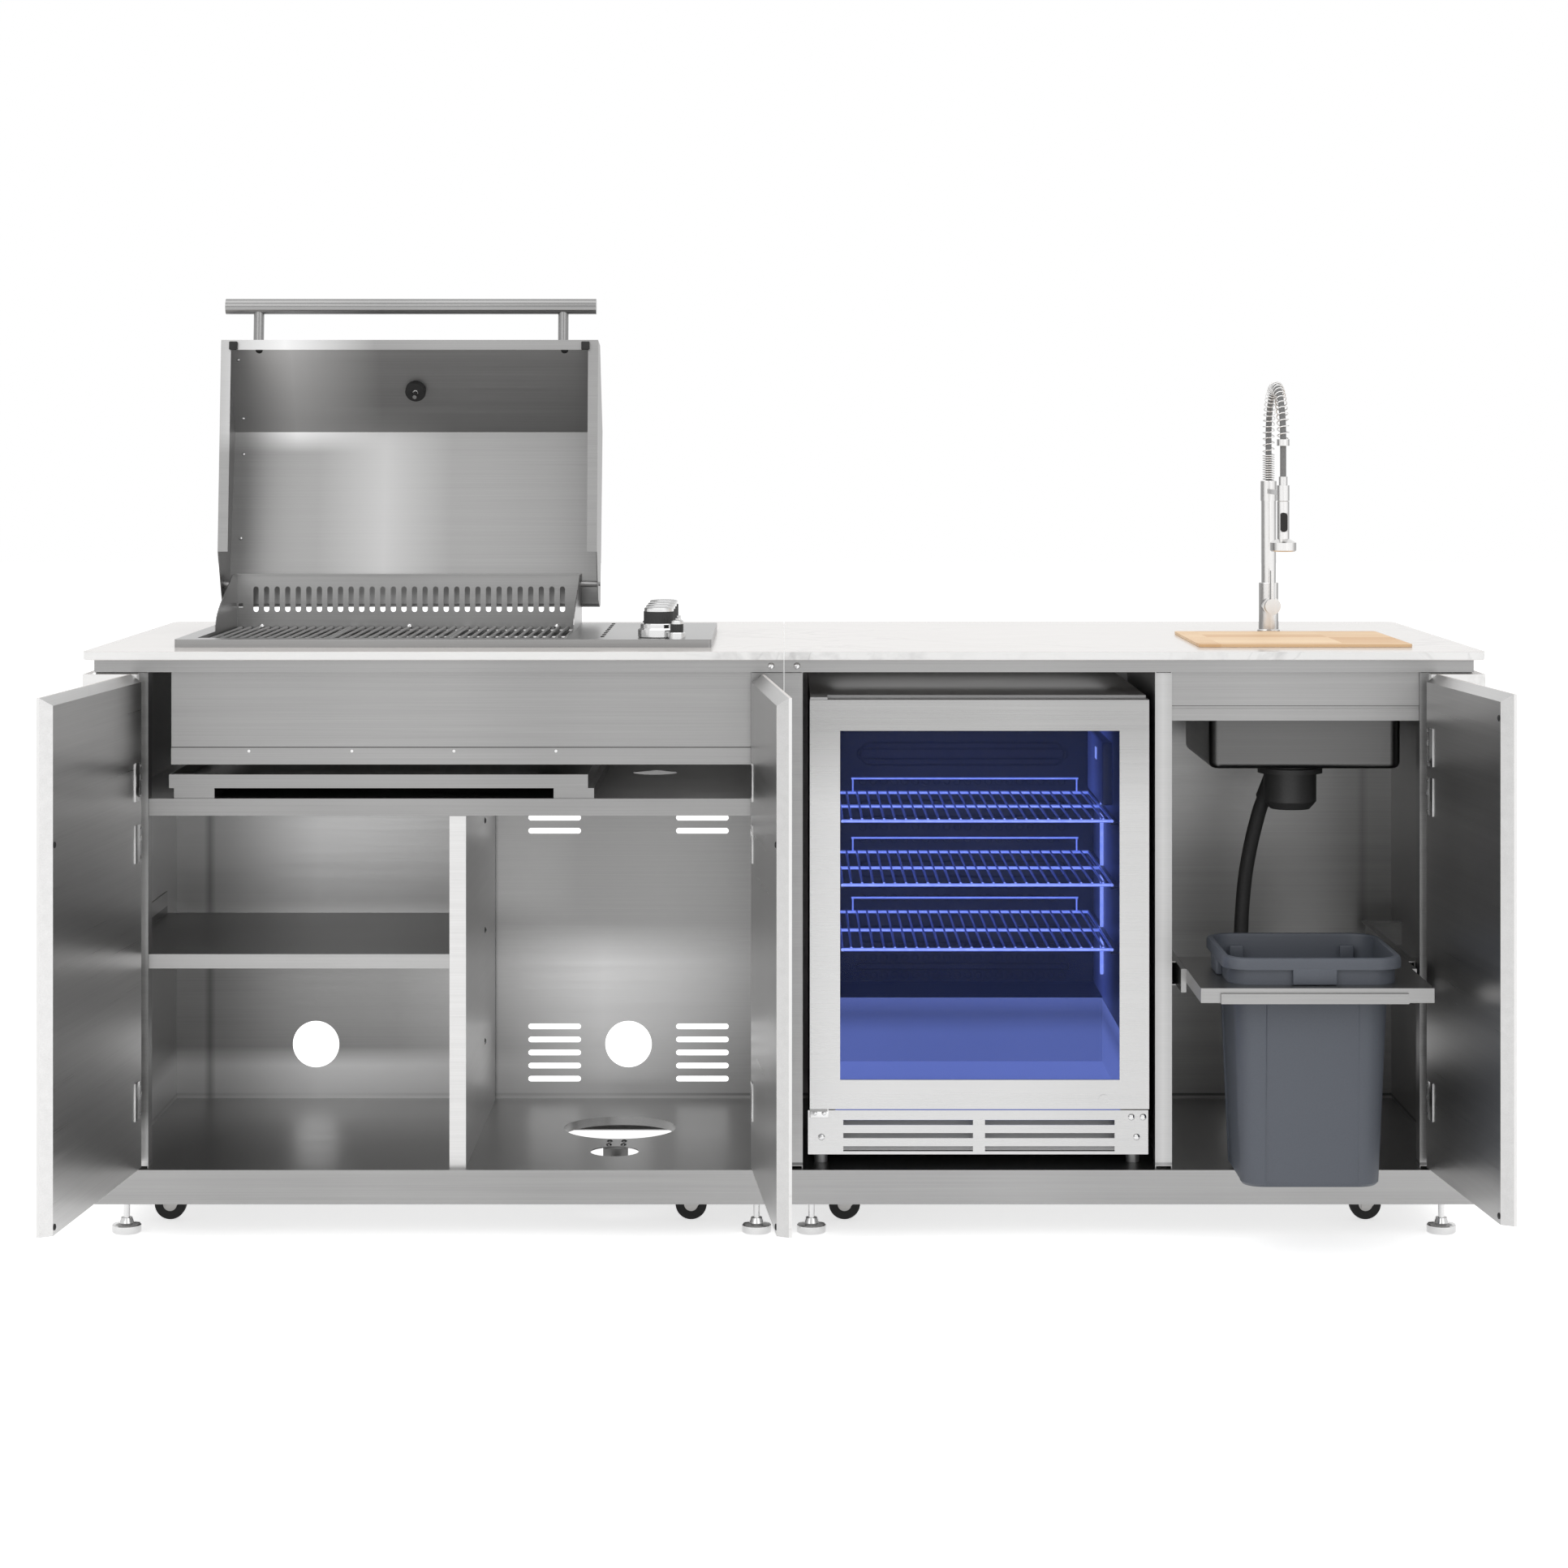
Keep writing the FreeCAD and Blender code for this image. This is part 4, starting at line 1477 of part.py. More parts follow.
def fridge_glass():
    """The sealed glass unit, set in the door frame from behind."""
    m = FRIDGE_GLASS_REBATE
    y0 = FRIDGE_DOOR_Y0 + FRIDGE_GLASS_SET
    g0, g1 = FRIDGE_GLASS_X
    h0, h1 = FRIDGE_GLASS_Z
    p = FRIDGE_PANE_T
    unit = box(g0 - m, g1 + m, y0, y0 + FRIDGE_GLASS_T, h0 - m, h1 + m)
    return unit.cut(box(g0 - 1, g1 + 1, y0 + p, y0 + FRIDGE_GLASS_T - p, h0 - 1, h1 + 1))


# Pull-out bin

def bin_carrier():
    """The pull-out frame that the bin hangs in, with a finger grip in front and a runner each side."""
    x0, x1 = BIN_X - CARRIER_W / 2, BIN_X + CARRIER_W / 2
    y0, y1 = CARRIER_Y0, CARRIER_Y0 + CARRIER_D
    z0, z1 = CARRIER_Z - CARRIER_LIP, CARRIER_Z
    tray = box(x0, x1, y0, y1, z0, z1)
    under = box(x0 + SHEET, x1 - SHEET, y0 + SHEET, y1 - SHEET, z0 - 1, z1 - SHEET)
    half = BIN_TOP_W / 2 + BIN_FIT
    opening = rounded_block(BIN_X - half, BIN_X + half, BIN_Y - half, BIN_Y + half, z0 - 1, z1 + 1, BIN_R)
    grip_top = z1 - GRIP_DROP
    grip = box(BIN_X + GRIP_X[0], BIN_X + GRIP_X[1], y0 - GRIP_T, y0, grip_top - GRIP_H, grip_top)
    runners = [box(x, x + side * RUNNER_T, RUNNER_FRONT_Y, RUNNER_BACK_Y, BIN_SLIDE_Z - RUNNER_H / 2,
                   BIN_SLIDE_Z + RUNNER_H / 2) for x, side in ((x0, -1), (x1, 1))]
    return fuse([cut(tray, [under, opening]), grip] + runners)


def bin_slides():
    """The two fixed slides that the carrier runs in, on brackets from the bay's walls."""
    pieces = []
    walls = ((BIN_X - CARRIER_W / 2, -1, PARTITION_X + SHEET), (BIN_X + CARRIER_W / 2, 1, END_LINER_X))
    for edge, side, wall in walls:
        inner = edge + side * (RUNNER_T + SLIDE_GAP)
        outer = inner + side * SLIDE_T
        half = SLIDE_H / 2
        bar = box(inner, outer, SLIDE_Y0, SLIDE_Y0 + SLIDE_L, BIN_SLIDE_Z - half, BIN_SLIDE_Z + half)
        groove = box(inner, outer - side * RAIL_T, SLIDE_Y0 - 1, SLIDE_Y0 + SLIDE_L + 1,
                     BIN_SLIDE_Z - half + RAIL_T, BIN_SLIDE_Z + half - RAIL_T)
        parts = [bar.cut(groove)]
        for y in SLIDE_BRACKET_Y:
            parts.append(box(outer, wall, y, y + SLIDE_BRACKET_D, BIN_SLIDE_Z + half - 2, BIN_SLIDE_Z + half))
            parts.append(box(outer, wall, y, y + SHEET, BIN_SLIDE_Z - half, BIN_SLIDE_Z + half))
        pieces.append(fuse(parts))
    return group(pieces)


def square_outline(width, z, radius):
    h = width / 2
    return rounded_outline(BIN_X - h, BIN_X + h, BIN_Y - h, BIN_Y + h, z, radius)


def waste_bin():
    """The plastic bin: a tapered pail, a wider neck that rests on the carrier and a rolled rim."""
    t, z0, z1, z2 = BIN_T, BIN_BOTTOM_Z, CARRIER_Z, BIN_TOP_Z
    foot, mouth = square_outline(BIN_FOOT_W, z0, BIN_R), square_outline(BIN_TOP_W, z1 + 1, BIN_R)
    pail = Part.makeLoft([foot, mouth], True)
    inside = Part.makeLoft([square_outline(BIN_FOOT_W - 2 * t, z0 + t, BIN_R - t),
                            square_outline(BIN_TOP_W - 2 * t, z1 + 1.5, BIN_R - t)], True)
    neck = Part.Face(square_outline(BIN_NECK_W, z1, BIN_R)).extrude(Vector(0, 0, z2 - z1))
    half_w, half_d = BIN_RIM_W / 2, BIN_RIM_D / 2
    rim = rounded_block(BIN_X - half_w, BIN_X + half_w, BIN_Y - half_d, BIN_Y + half_d, z2 - BIN_RIM_H, z2,
                        BIN_R + 6)
    gap = rounded_block(BIN_X - half_w + t, BIN_X + half_w - t, BIN_Y - half_d + t, BIN_Y + half_d - t,
                        z2 - BIN_RIM_H - 1, z2 - t, BIN_R + 4)
    rim = rim.cut(gap)
    room = Part.Face(square_outline(BIN_NECK_W - 2 * t, z1 + t, BIN_R - t)).extrude(Vector(0, 0, z2 - z1))
    throat = Part.Face(square_outline(BIN_TOP_W - 2 * t, z1 - 1, BIN_R - t)).extrude(Vector(0, 0, z2 - z1))
    return cut(fuse([pail, neck, rim]), [inside, room, throat])


# Doors and their hinges, each made shut with its hinges on the right, then opened

def flat_frame(x0, x1, z0, z1, y):
    corners = [Vector(x0, y, z0), Vector(x1, y, z0), Vector(x1, y, z1), Vector(x0, y, z1)]
    return Part.makePolygon(corners + corners[:1])


def opened_door(shape, hinge_x):
    return turned(shape, (hinge_x + HINGE_OUT, PIVOT_Y, 0), (0, 0, 1), DOOR_OPEN_DEG)


def door(hinge_x, width, hinge_heights, bumper_heights):
    """A folded steel pan with bevelled top and free edge, its moving hinge leaves and two bumpers."""
    free_x, t = hinge_x - width, SHEET
    front = DOOR_IN_Y - DOOR_PAN_T
    outer = Part.makeLoft([
        flat_frame(free_x, hinge_x, DOOR_Z0, DOOR_Z1, front),
        flat_frame(free_x + DOOR_BEVEL, hinge_x, DOOR_Z0, DOOR_Z1 - DOOR_BEVEL, DOOR_IN_Y),
    ], True, True)
    inner = Part.makeLoft([
        flat_frame(free_x + 2 * t, hinge_x - t, DOOR_Z0 + t, DOOR_Z1 - 2 * t, front),
        flat_frame(free_x + DOOR_BEVEL + t, hinge_x - t, DOOR_Z0 + t, DOOR_Z1 - DOOR_BEVEL - t,
                   DOOR_IN_Y - t),
    ], True, True)
    pieces = [outer.cut(inner)]
    pin_x = hinge_x + HINGE_OUT
    bores = []
    for z in hinge_heights:
        half = HINGE_H / 2 - HINGE_KNUCKLE_H - HINGE_END_GAP
        pieces.append(rod(HINGE_R, (pin_x, PIVOT_Y, z - half), (pin_x, PIVOT_Y, z + half)))
        pieces.append(box(hinge_x - t, pin_x, PIVOT_Y - 1.5, PIVOT_Y + 1.5, z - half, z + half))
        pieces.append(box(hinge_x - HINGE_PLATE_IN - HINGE_PLATE_W, hinge_x - HINGE_PLATE_IN, DOOR_IN_Y,
                          DOOR_IN_Y + HINGE_PLATE_T, z - HINGE_H / 2, z + HINGE_H / 2))
        low, high = z - half - 1, z + half + 1
        bores.append(rod(HINGE_PIN_R + HINGE_FIT, (pin_x, PIVOT_Y, low), (pin_x, PIVOT_Y, high)))
    for z in bumper_heights:
        x = free_x + DOOR_BEVEL + BUMPER_IN
        pieces.append(rod(BUMPER_R, (x, DOOR_IN_Y, z), (x, DOOR_IN_Y + BUMPER_T, z)))
    return opened_door(cut(fuse(pieces), bores), hinge_x)


def door_cladding(hinge_x, width):
    """The stone-look slab on the front of a door."""
    y1 = DOOR_IN_Y - DOOR_PAN_T
    return opened_door(box(hinge_x - width, hinge_x, y1 - CLAD_T, y1, DOOR_Z0, DOOR_Z1), hinge_x)


def fixed_hinges(hinge_x, hinge_heights):
    """The pins, end knuckles and fixed leaves of one door's hinges."""
    x = hinge_x + HINGE_OUT
    hinges = []
    for z in hinge_heights:
        low, high = z - HINGE_H / 2, z + HINGE_H / 2
        pieces = [rod(HINGE_PIN_R, (x, PIVOT_Y, low), (x, PIVOT_Y, high))]
        for za, zb in ((low, low + HINGE_KNUCKLE_H), (high - HINGE_KNUCKLE_H, high)):
            pieces.append(rod(HINGE_R, (x, PIVOT_Y, za), (x, PIVOT_Y, zb)))
            pieces.append(box(x - 1, x + 1, PIVOT_Y, POST_SET, za, zb))
        pieces.append(box(x - 6, x + 5, POST_SET - LEAF_T, POST_SET, low, high))
        hinges.append(fuse(pieces))
    return hinges


def hinge_plates():
    left = [mirrored(h) for h in fixed_hinges(END_HINGE_X, GRILL_DOOR_HINGE_Z)]
    middle = fixed_hinges(-SEAM_HINGE_X, GRILL_DOOR_HINGE_Z)
    return group(left + middle + fixed_hinges(END_HINGE_X, SINK_DOOR_HINGE_Z))


def door_left():
    return mirrored(door(END_HINGE_X, DOOR_W, GRILL_DOOR_HINGE_Z, GRILL_DOOR_BUMPER_Z))


def door_left_cladding():
    return mirrored(door_cladding(END_HINGE_X, DOOR_W))


def door_middle():
    return door(-SEAM_HINGE_X, DOOR_W, GRILL_DOOR_HINGE_Z, GRILL_DOOR_BUMPER_Z)


def door_middle_cladding():
    return door_cladding(-SEAM_HINGE_X, DOOR_W)


def door_right():
    return door(END_HINGE_X, SINK_DOOR_W, SINK_DOOR_HINGE_Z, SINK_DOOR_BUMPER_Z)


def door_right_cladding():
    return door_cladding(END_HINGE_X, SINK_DOOR_W)


# Feet, casters and bolts

def cabinets():
    return ((-CAB_X1, -CAB_X0), (CAB_X0, CAB_X1))


def levelling_feet():
    feet = []
    for x0, x1 in cabinets():
        for x, y in foot_places(x0, x1):
            top = FOOT_PAD_H + FOOT_CONE_H
            feet.append(fuse([
                revolved([(0, 0), (FOOT_PAD_R - 2, 0), (FOOT_PAD_R, 2), (FOOT_PAD_R, FOOT_PAD_H - 2),
                          (FOOT_PAD_R - 2, FOOT_PAD_H), (FOOT_NUT_R + 3, FOOT_PAD_H + 2), (FOOT_NUT_R, top),
                          (0, top)], x, y),
                rod(FOOT_STEM_R, (x, y, top - 1), (x, y, FOOT_STEM_TOP)),
                rod(FOOT_NUT_R, (x, y, FOOT_H - FOOT_NUT_H), (x, y, FOOT_H)),
            ]))
    return group(feet)


def caster_fork(x, y):
    """A caster's plate, race and fork, its wheel trailing toward -X."""
    plate_z = CASTER_PLATE_Z - CASTER_PLATE_T
    half = CASTER_PLATE / 2
    wheel_x = x - CASTER_TRAIL
    gap = CASTER_WHEEL_T / 2 + CASTER_SIDE_GAP
    outside = gap + CASTER_CHEEK_T
    crown = CASTER_AXLE_Z + CASTER_WHEEL_R + CASTER_SIDE_GAP
    pieces = [
        box(x - half, x + half, y - half, y + half, plate_z, CASTER_PLATE_Z),
        rod(CASTER_RACE_R, (x, y, crown), (x, y, plate_z)),
        box(wheel_x - 9, x + CASTER_RACE_R - 6, y - outside, y + outside, crown, crown + CASTER_PLATE_T),
        rod(CASTER_AXLE_R, (wheel_x, y - outside, CASTER_AXLE_Z), (wheel_x, y + outside, CASTER_AXLE_Z)),
    ]
    for ya, yb in ((y - outside, y - gap), (y + gap, y + outside)):
        side = [(wheel_x - 9, crown + 1), (wheel_x - 8, CASTER_AXLE_Z - 7), (wheel_x + 8, CASTER_AXLE_Z - 7),
                (x + CASTER_RACE_R - 6, crown + 1)]
        corners = [Vector(px, ya, pz) for px, pz in side]
        pieces.append(Part.Face(Part.makePolygon(corners + corners[:1])).extrude(Vector(0, yb - ya, 0)))
    return fuse(pieces)


def caster_forks():
    forks = []
    for x0, x1 in cabinets():
        for x, y in caster_places(x0, x1):
            if y < CABINET_D / 2:
                forks.append(caster_fork(x, y))
            else:
                aligned = turned(caster_fork(x, y), (x, y, 0), (0, 0, 1), REAR_CASTER_TURN)
                forks.append(aligned)
    return group(forks)


def caster_wheel(x, y, along):
    axis = Vector(*along)
    centre = Vector(x, y, CASTER_AXLE_Z)
    half = CASTER_WHEEL_T / 2
    tyre = Part.makeCylinder(CASTER_WHEEL_R, CASTER_WHEEL_T, centre - axis * half, axis)
    rims = [e for e in tyre.Edges if e.Closed and len(e.Vertexes) == 1]
    tyre = tyre.makeFillet(3.0, rims)
    hub = Part.makeCylinder(9.0, CASTER_WHEEL_T + 2, centre - axis * (half + 1), axis)
    return cut(fuse([tyre, hub]), [Part.makeCylinder(CASTER_AXLE_R + CASTER_FIT, CASTER_WHEEL_T + 8,
                                                     centre - axis * (half + 4), axis)])


def front_wheel_places():
    return [(x - CASTER_TRAIL, y) for x0, x1 in cabinets() for x, y in caster_places(x0, x1)
            if y < CABINET_D / 2]


def front_wheel(number):
    return caster_wheel(*front_wheel_places()[number - 1], (0, 1, 0))


def rear_wheels():
    wheels = []
    for x0, x1 in cabinets():
        for x, y in caster_places(x0, x1):
            if y > CABINET_D / 2:
                wheels.append(caster_wheel(x, y + CASTER_TRAIL, (1, 0, 0)))
    return group(wheels)


def dome_bolts():
    bolts = BAND_BOLTS + STRIP_BOLTS + CLAMP_BOLTS + DIVIDER_BOLTS + REAR_BOLTS + KICK_BOLTS
    return group([dome_bolt(seat, way) for seat, way in bolts])


def subparts():
    """Every sub-part by its name, in the island's own place."""
    shapes = {}
    whole = (worktop_left, worktop_right, cabinet_bands, base_left, base_right, carcass_left, carcass_right,
             tank_bay_divider, half_shelf, heat_shelf, bay_aprons, end_claddings, grill_frame, firebox,
             cooking_grates, burners, knob_bezels, sink_bowl, sink_drain, drain_hose, faucet_base,
             fridge_cabinet, fridge_shelves, fridge_grille, levelling_feet, caster_forks, hinge_plates,
             bin_slides, dome_bolts, door_left, door_left_cladding, door_middle, door_middle_cladding,
             door_right, door_right_cladding, fridge_door, fridge_glass, hood, hood_handle, thermometer,
             drip_tray, bin_carrier, waste_bin, igniter_button, faucet_neck, faucet_spring, spray_hose,
             spray_head, spray_button, faucet_lever, cutting_board, rear_wheels)
    for make in whole:
        shapes[make.__name__] = make()
    for i, y in enumerate(KNOB_Y):
        shapes["knob_%d" % (i + 1)] = knob(y)
    for i in range(len(front_wheel_places())):
        shapes["front_wheel_%d" % (i + 1)] = front_wheel(i + 1)
    return shapes


def export(shapes):
    """Write each sub-part with the island's footprint centred on the origin."""
    os.makedirs("parts", exist_ok=True)
    limits = FreeCAD.BoundBox()
    for shape in shapes.values():
        limits.add(shape.optimalBoundingBox(False, False))
    centred = Vector(-limits.Center.x, -limits.Center.y, -limits.ZMin)
    for name, shape in shapes.items():
        placed = shape.copy()
        placed.translate(centred)
        placed.exportStep("parts/%s.step" % name)


export(subparts())
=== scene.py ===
"""Outdoor kitchen island: two steel cabinets under a stone worktop, with grill, refrigerator and sink."""

import json
import math

import bmesh
import bpy
from mathutils import Matrix, Vector


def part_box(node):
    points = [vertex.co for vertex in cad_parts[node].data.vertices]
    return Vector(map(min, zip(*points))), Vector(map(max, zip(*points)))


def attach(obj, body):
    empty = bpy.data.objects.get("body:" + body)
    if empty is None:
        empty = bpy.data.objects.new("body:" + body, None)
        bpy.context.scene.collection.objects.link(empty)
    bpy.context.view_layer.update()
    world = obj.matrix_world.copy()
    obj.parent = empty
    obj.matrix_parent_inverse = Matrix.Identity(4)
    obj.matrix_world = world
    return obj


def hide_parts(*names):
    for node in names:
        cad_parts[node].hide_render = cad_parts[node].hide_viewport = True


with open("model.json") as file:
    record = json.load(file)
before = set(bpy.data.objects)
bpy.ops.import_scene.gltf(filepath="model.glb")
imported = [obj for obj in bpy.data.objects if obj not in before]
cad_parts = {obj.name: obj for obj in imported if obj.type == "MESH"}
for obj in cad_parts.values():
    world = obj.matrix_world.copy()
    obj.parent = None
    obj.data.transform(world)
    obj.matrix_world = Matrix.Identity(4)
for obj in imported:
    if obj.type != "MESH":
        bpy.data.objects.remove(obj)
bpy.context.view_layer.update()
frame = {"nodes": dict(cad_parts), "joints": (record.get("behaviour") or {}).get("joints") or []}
nodes = frame["nodes"]

# Studio
# A level camera straight in front of the island, its frame shifted down, in a room of plain
# white paper with broad soft lamps. The paper shows as white and keeps the island's shadow.

PHOTO_SIDE = 1932
HORIZON_PX = 525
FOCAL_PX = 4320
CAMERA_BACK = 6.325
EYE_HEIGHT = 1.4216
SENSOR = 36.0
PAPER_SIZE = 60.0
PAPER_COLOUR = (0.93, 0.93, 0.93, 1)
PAPER_LIFT = 0.66
ROOM_LIGHT = 0.72
ROOM_SHOWN = 1.0

# Each lamp: name, place, what it points at, width, height, watts. The last four are small ones
# inside the bays, where the sheet steel would otherwise only mirror itself.
LAMPS = (
    ("key", (-3.4, -6.4, 5.0), (0, 0, 0.7), 5.0, 4.0, 70),
    ("fill", (4.0, -6.0, 3.6), (0.2, 0, 0.7), 4.0, 4.0, 40),
    ("over", (0.0, -0.2, 5.2), (0, 0, 0.9), 4.5, 3.0, 45),
    ("left_bay", (-1.105, 0.05, 0.99), (-1.14, 0.05, 0.6), 0.05, 0.30, 0.55),
    ("right_bay", (-0.20, 0.10, 0.99), (-0.20, 0.10, 0.6), 0.26, 0.30, 0.30),
    ("tray_gap", (-0.72, 0.05, 0.787), (-0.72, 0.05, 0.6), 0.60, 0.26, 0.02),
    ("fridge_niche", (0.34, 0.20, 0.99), (0.34, 0.25, 0.6), 0.50, 0.30, 0.18),
)

eye = bpy.data.cameras.new("eye")
eye.sensor_width = SENSOR
eye.lens = SENSOR * FOCAL_PX / PHOTO_SIDE
eye.shift_y = -(PHOTO_SIDE / 2 - HORIZON_PX) / PHOTO_SIDE
eye_stand = bpy.data.objects.new("eye", eye)
eye_stand.location = (0, -CAMERA_BACK, EYE_HEIGHT)
eye_stand.rotation_euler = (math.radians(90), 0, 0)
bpy.context.collection.objects.link(eye_stand)
bpy.context.scene.camera = eye_stand
bpy.context.scene.view_settings.view_transform = "Standard"


def room_light():
    world = bpy.data.worlds.new("room")
    world.use_nodes = True
    tree = world.node_tree
    tree.nodes.clear()
    path = tree.nodes.new("ShaderNodeLightPath")
    seen = tree.nodes.new("ShaderNodeMath")
    seen.operation = "MAXIMUM"
    tree.links.new(path.outputs["Is Camera Ray"], seen.inputs[0])
    tree.links.new(path.outputs["Is Glossy Ray"], seen.inputs[1])
    shown = tree.nodes.new("ShaderNodeMath")
    shown.operation = "MAXIMUM"
    tree.links.new(seen.outputs[0], shown.inputs[0])
    tree.links.new(path.outputs["Is Transmission Ray"], shown.inputs[1])
    lit = tree.nodes.new("ShaderNodeBackground")
    lit.inputs["Strength"].default_value = ROOM_LIGHT
    lit.inputs["Color"].default_value = (1, 1, 1, 1)
    white = tree.nodes.new("ShaderNodeBackground")
    white.inputs["Strength"].default_value = ROOM_SHOWN
    white.inputs["Color"].default_value = (1, 1, 1, 1)
    either = tree.nodes.new("ShaderNodeMixShader")
    tree.links.new(shown.outputs[0], either.inputs[0])
    tree.links.new(lit.outputs[0], either.inputs[1])
    tree.links.new(white.outputs[0], either.inputs[2])
    out = tree.nodes.new("ShaderNodeOutputWorld")
    tree.links.new(either.outputs[0], out.inputs["Surface"])
    bpy.context.scene.world = world


def lamp(name, place, target, width, height, watts):
    light = bpy.data.lights.new(name, "AREA")
    light.shape = "RECTANGLE"
    light.size = width
    light.size_y = height
    light.energy = watts
    stand = bpy.data.objects.new(name, light)
    stand.location = place
    stand.rotation_euler = (Vector(target) - Vector(place)).to_track_quat("-Z", "Y").to_euler()
    bpy.context.collection.objects.link(stand)


room_light()
for each in LAMPS:
    lamp(*each)


# Finishes
# A finish is built from a shader's sockets. A value that changes over the surface is written
# as plain arithmetic on Shade objects, and every other node comes from one method.


class Shade:
    """The output of a shader node, with arithmetic that adds Math nodes."""

    def __init__(self, finish, socket):
        self.finish = finish
        self.socket = socket

    def join(self, operation, other, flip=False):
        pair = (other, self) if flip else (self, other)
        return self.finish.node("ShaderNodeMath", {"operation": operation}, {0: pair[0], 1: pair[1]})

    def __add__(self, other):
        return self.join("ADD", other)

    def __radd__(self, other):
        return self.join("ADD", other)

    def __sub__(self, other):
        return self.join("SUBTRACT", other)

    def __rsub__(self, other):
        return self.join("SUBTRACT", other, flip=True)

    def __mul__(self, other):
        return self.join("MULTIPLY", other)

    def __truediv__(self, other):
        return self.join("DIVIDE", other)

    def __gt__(self, other):
        return self.join("GREATER_THAN", other)

    def __lt__(self, other):
        return self.join("LESS_THAN", other)

    def __abs__(self):
        return self.join("ABSOLUTE", 0.0)


class Finish:
    """One material, with its Principled shader ready to take values."""

    def __init__(self, name, **sockets):
        self.material = bpy.data.materials.new(name)
        self.material.use_nodes = True
        self.tree = self.material.node_tree
        self.shader = self.tree.nodes["Principled BSDF"]
        self.set(sockets)

    def node(self, kind, settings=None, inputs=None, output=0):
        made = self.tree.nodes.new(kind)
        for key, value in (settings or {}).items():
            if key == "stops":
                self.place_stops(made.color_ramp, value)
            else:
                setattr(made, key, value)
        for key, value in (inputs or {}).items():
            self.feed(made.inputs[key], value)
        return Shade(self, made.outputs[output])

    def place_stops(self, ramp, stops):
        while len(ramp.elements) < len(stops):
            ramp.elements.new(1.0)
        for element, (place, colour) in zip(ramp.elements, stops):
            element.position = place
            element.color = colour

    def feed(self, socket, value):
        if isinstance(value, Shade):
            self.tree.links.new(value.socket, socket)
        else:
            socket.default_value = value

    def set(self, sockets):
        for name, value in sockets.items():
            self.feed(self.shader.inputs[name.replace("_", " ")], value)

    def place(self):
        return self.node("ShaderNodeTexCoord", output=3)

    def facing(self):
        """How much the surface faces along x, y and z, whichever way."""
        normal = self.node("ShaderNodeTexCoord", output=1)
        return [abs(self.split(normal, i)) for i in range(3)]

    def split(self, vector, axis):
        return self.node("ShaderNodeSeparateXYZ", inputs={0: vector}, output=axis)

    def along(self, axis):
        return self.split(self.place(), axis)

    def noise(self, scale, detail=2.0, stretch=(1, 1, 1), turn=0.0, warp=0.0, offset=(0, 0, 0)):
        spot = self.place()
        if turn:
            spot = self.node("ShaderNodeMapping", inputs={"Vector": spot, "Rotation": (0, 0, turn)})
        spot = self.node("ShaderNodeMapping", inputs={"Vector": spot, "Scale": stretch, "Location": offset})
        inputs = {"Vector": spot, "Scale": scale, "Detail": detail, "Distortion": warp}
        return self.node("ShaderNodeTexNoise", inputs=inputs)

    def blend(self, share, first, second):
        settings = {"data_type": "RGBA", "clamp_factor": True}
        return self.node("ShaderNodeMix", settings, {0: share, 6: first, 7: second}, output=2)

    def ramp(self, value, stops):
        return self.node("ShaderNodeValToRGB", {"stops": stops}, {0: value})

    def bump(self, height, distance):
        inputs = {"Height": height, "Distance": distance, "Strength": 1.0}
        return self.node("ShaderNodeBump", inputs=inputs)

    def fall(self, value, thin=1.0):
        """One less the value times thin, and never below zero."""
        settings = {"operation": "SUBTRACT", "use_clamp": True}
        return self.node("ShaderNodeMath", settings, {0: 1.0, 1: value * thin})


def grey(level, warm=0.0):
    return (level * (1 + warm), level, level * (1 - warm), 1)


BLACK = grey(0)
WHITE = grey(1)


def dress(finish, *names):
    """The named CAD nodes take this finish."""
    for name in names:
        mesh = nodes[name].data
        mesh.materials.clear()
        mesh.materials.append(finish.material)


# Brushed sheet steel
# Nearly everything is folded from 1.5 mm stainless sheet, ground along its length. The grain
# runs across the cabinets on faces seen from the front and front to back on the side walls.

FINE_GRAIN = 620.0
LONG_GRAIN = 3.0
BROAD_GRAIN = 70.0
FINE_SHARE = 0.6
GRAIN_DEPTH = 0.0001
SCRATCH_SHARE = 0.6
# Painted reflection: size and upright stretch of the broad streaks that stand for reflections.
STREAK_SCALE = 3.2
STREAK_FLAT = 0.06
SIDE_FACING = 0.7
STEEL_WARM = 0.006
TONE_SPAN = 0.30
ROUGH_SPAN = 0.14
# Painted shadow and highlight: the dark grey of shade lines and shaded zones, how strongly shade lines take
# it, the bright grey of highlighted zones, and where zones begin to fade.
PAINTED_SHADE_TONE = 0.04
SHADE_LINE_SHARE = 0.7
PAINTED_HIGHLIGHT_TONE = 0.90
PAINTED_ZONE_FULL = 0.70


def grain(finish, direction, turn=0.0):
    """Scratches along one axis, from 0 to 1, fine ones with broader bands among them."""
    stretch = [1.0, 1.0, 1.0]
    stretch[direction] = LONG_GRAIN / FINE_GRAIN
    fine = finish.noise(FINE_GRAIN, 2.0, tuple(stretch), turn)
    stretch[direction] = LONG_GRAIN / 2 / BROAD_GRAIN
    broad = finish.noise(BROAD_GRAIN, 1.0, tuple(stretch), turn)
    return fine * FINE_SHARE + broad * (1 - FINE_SHARE)


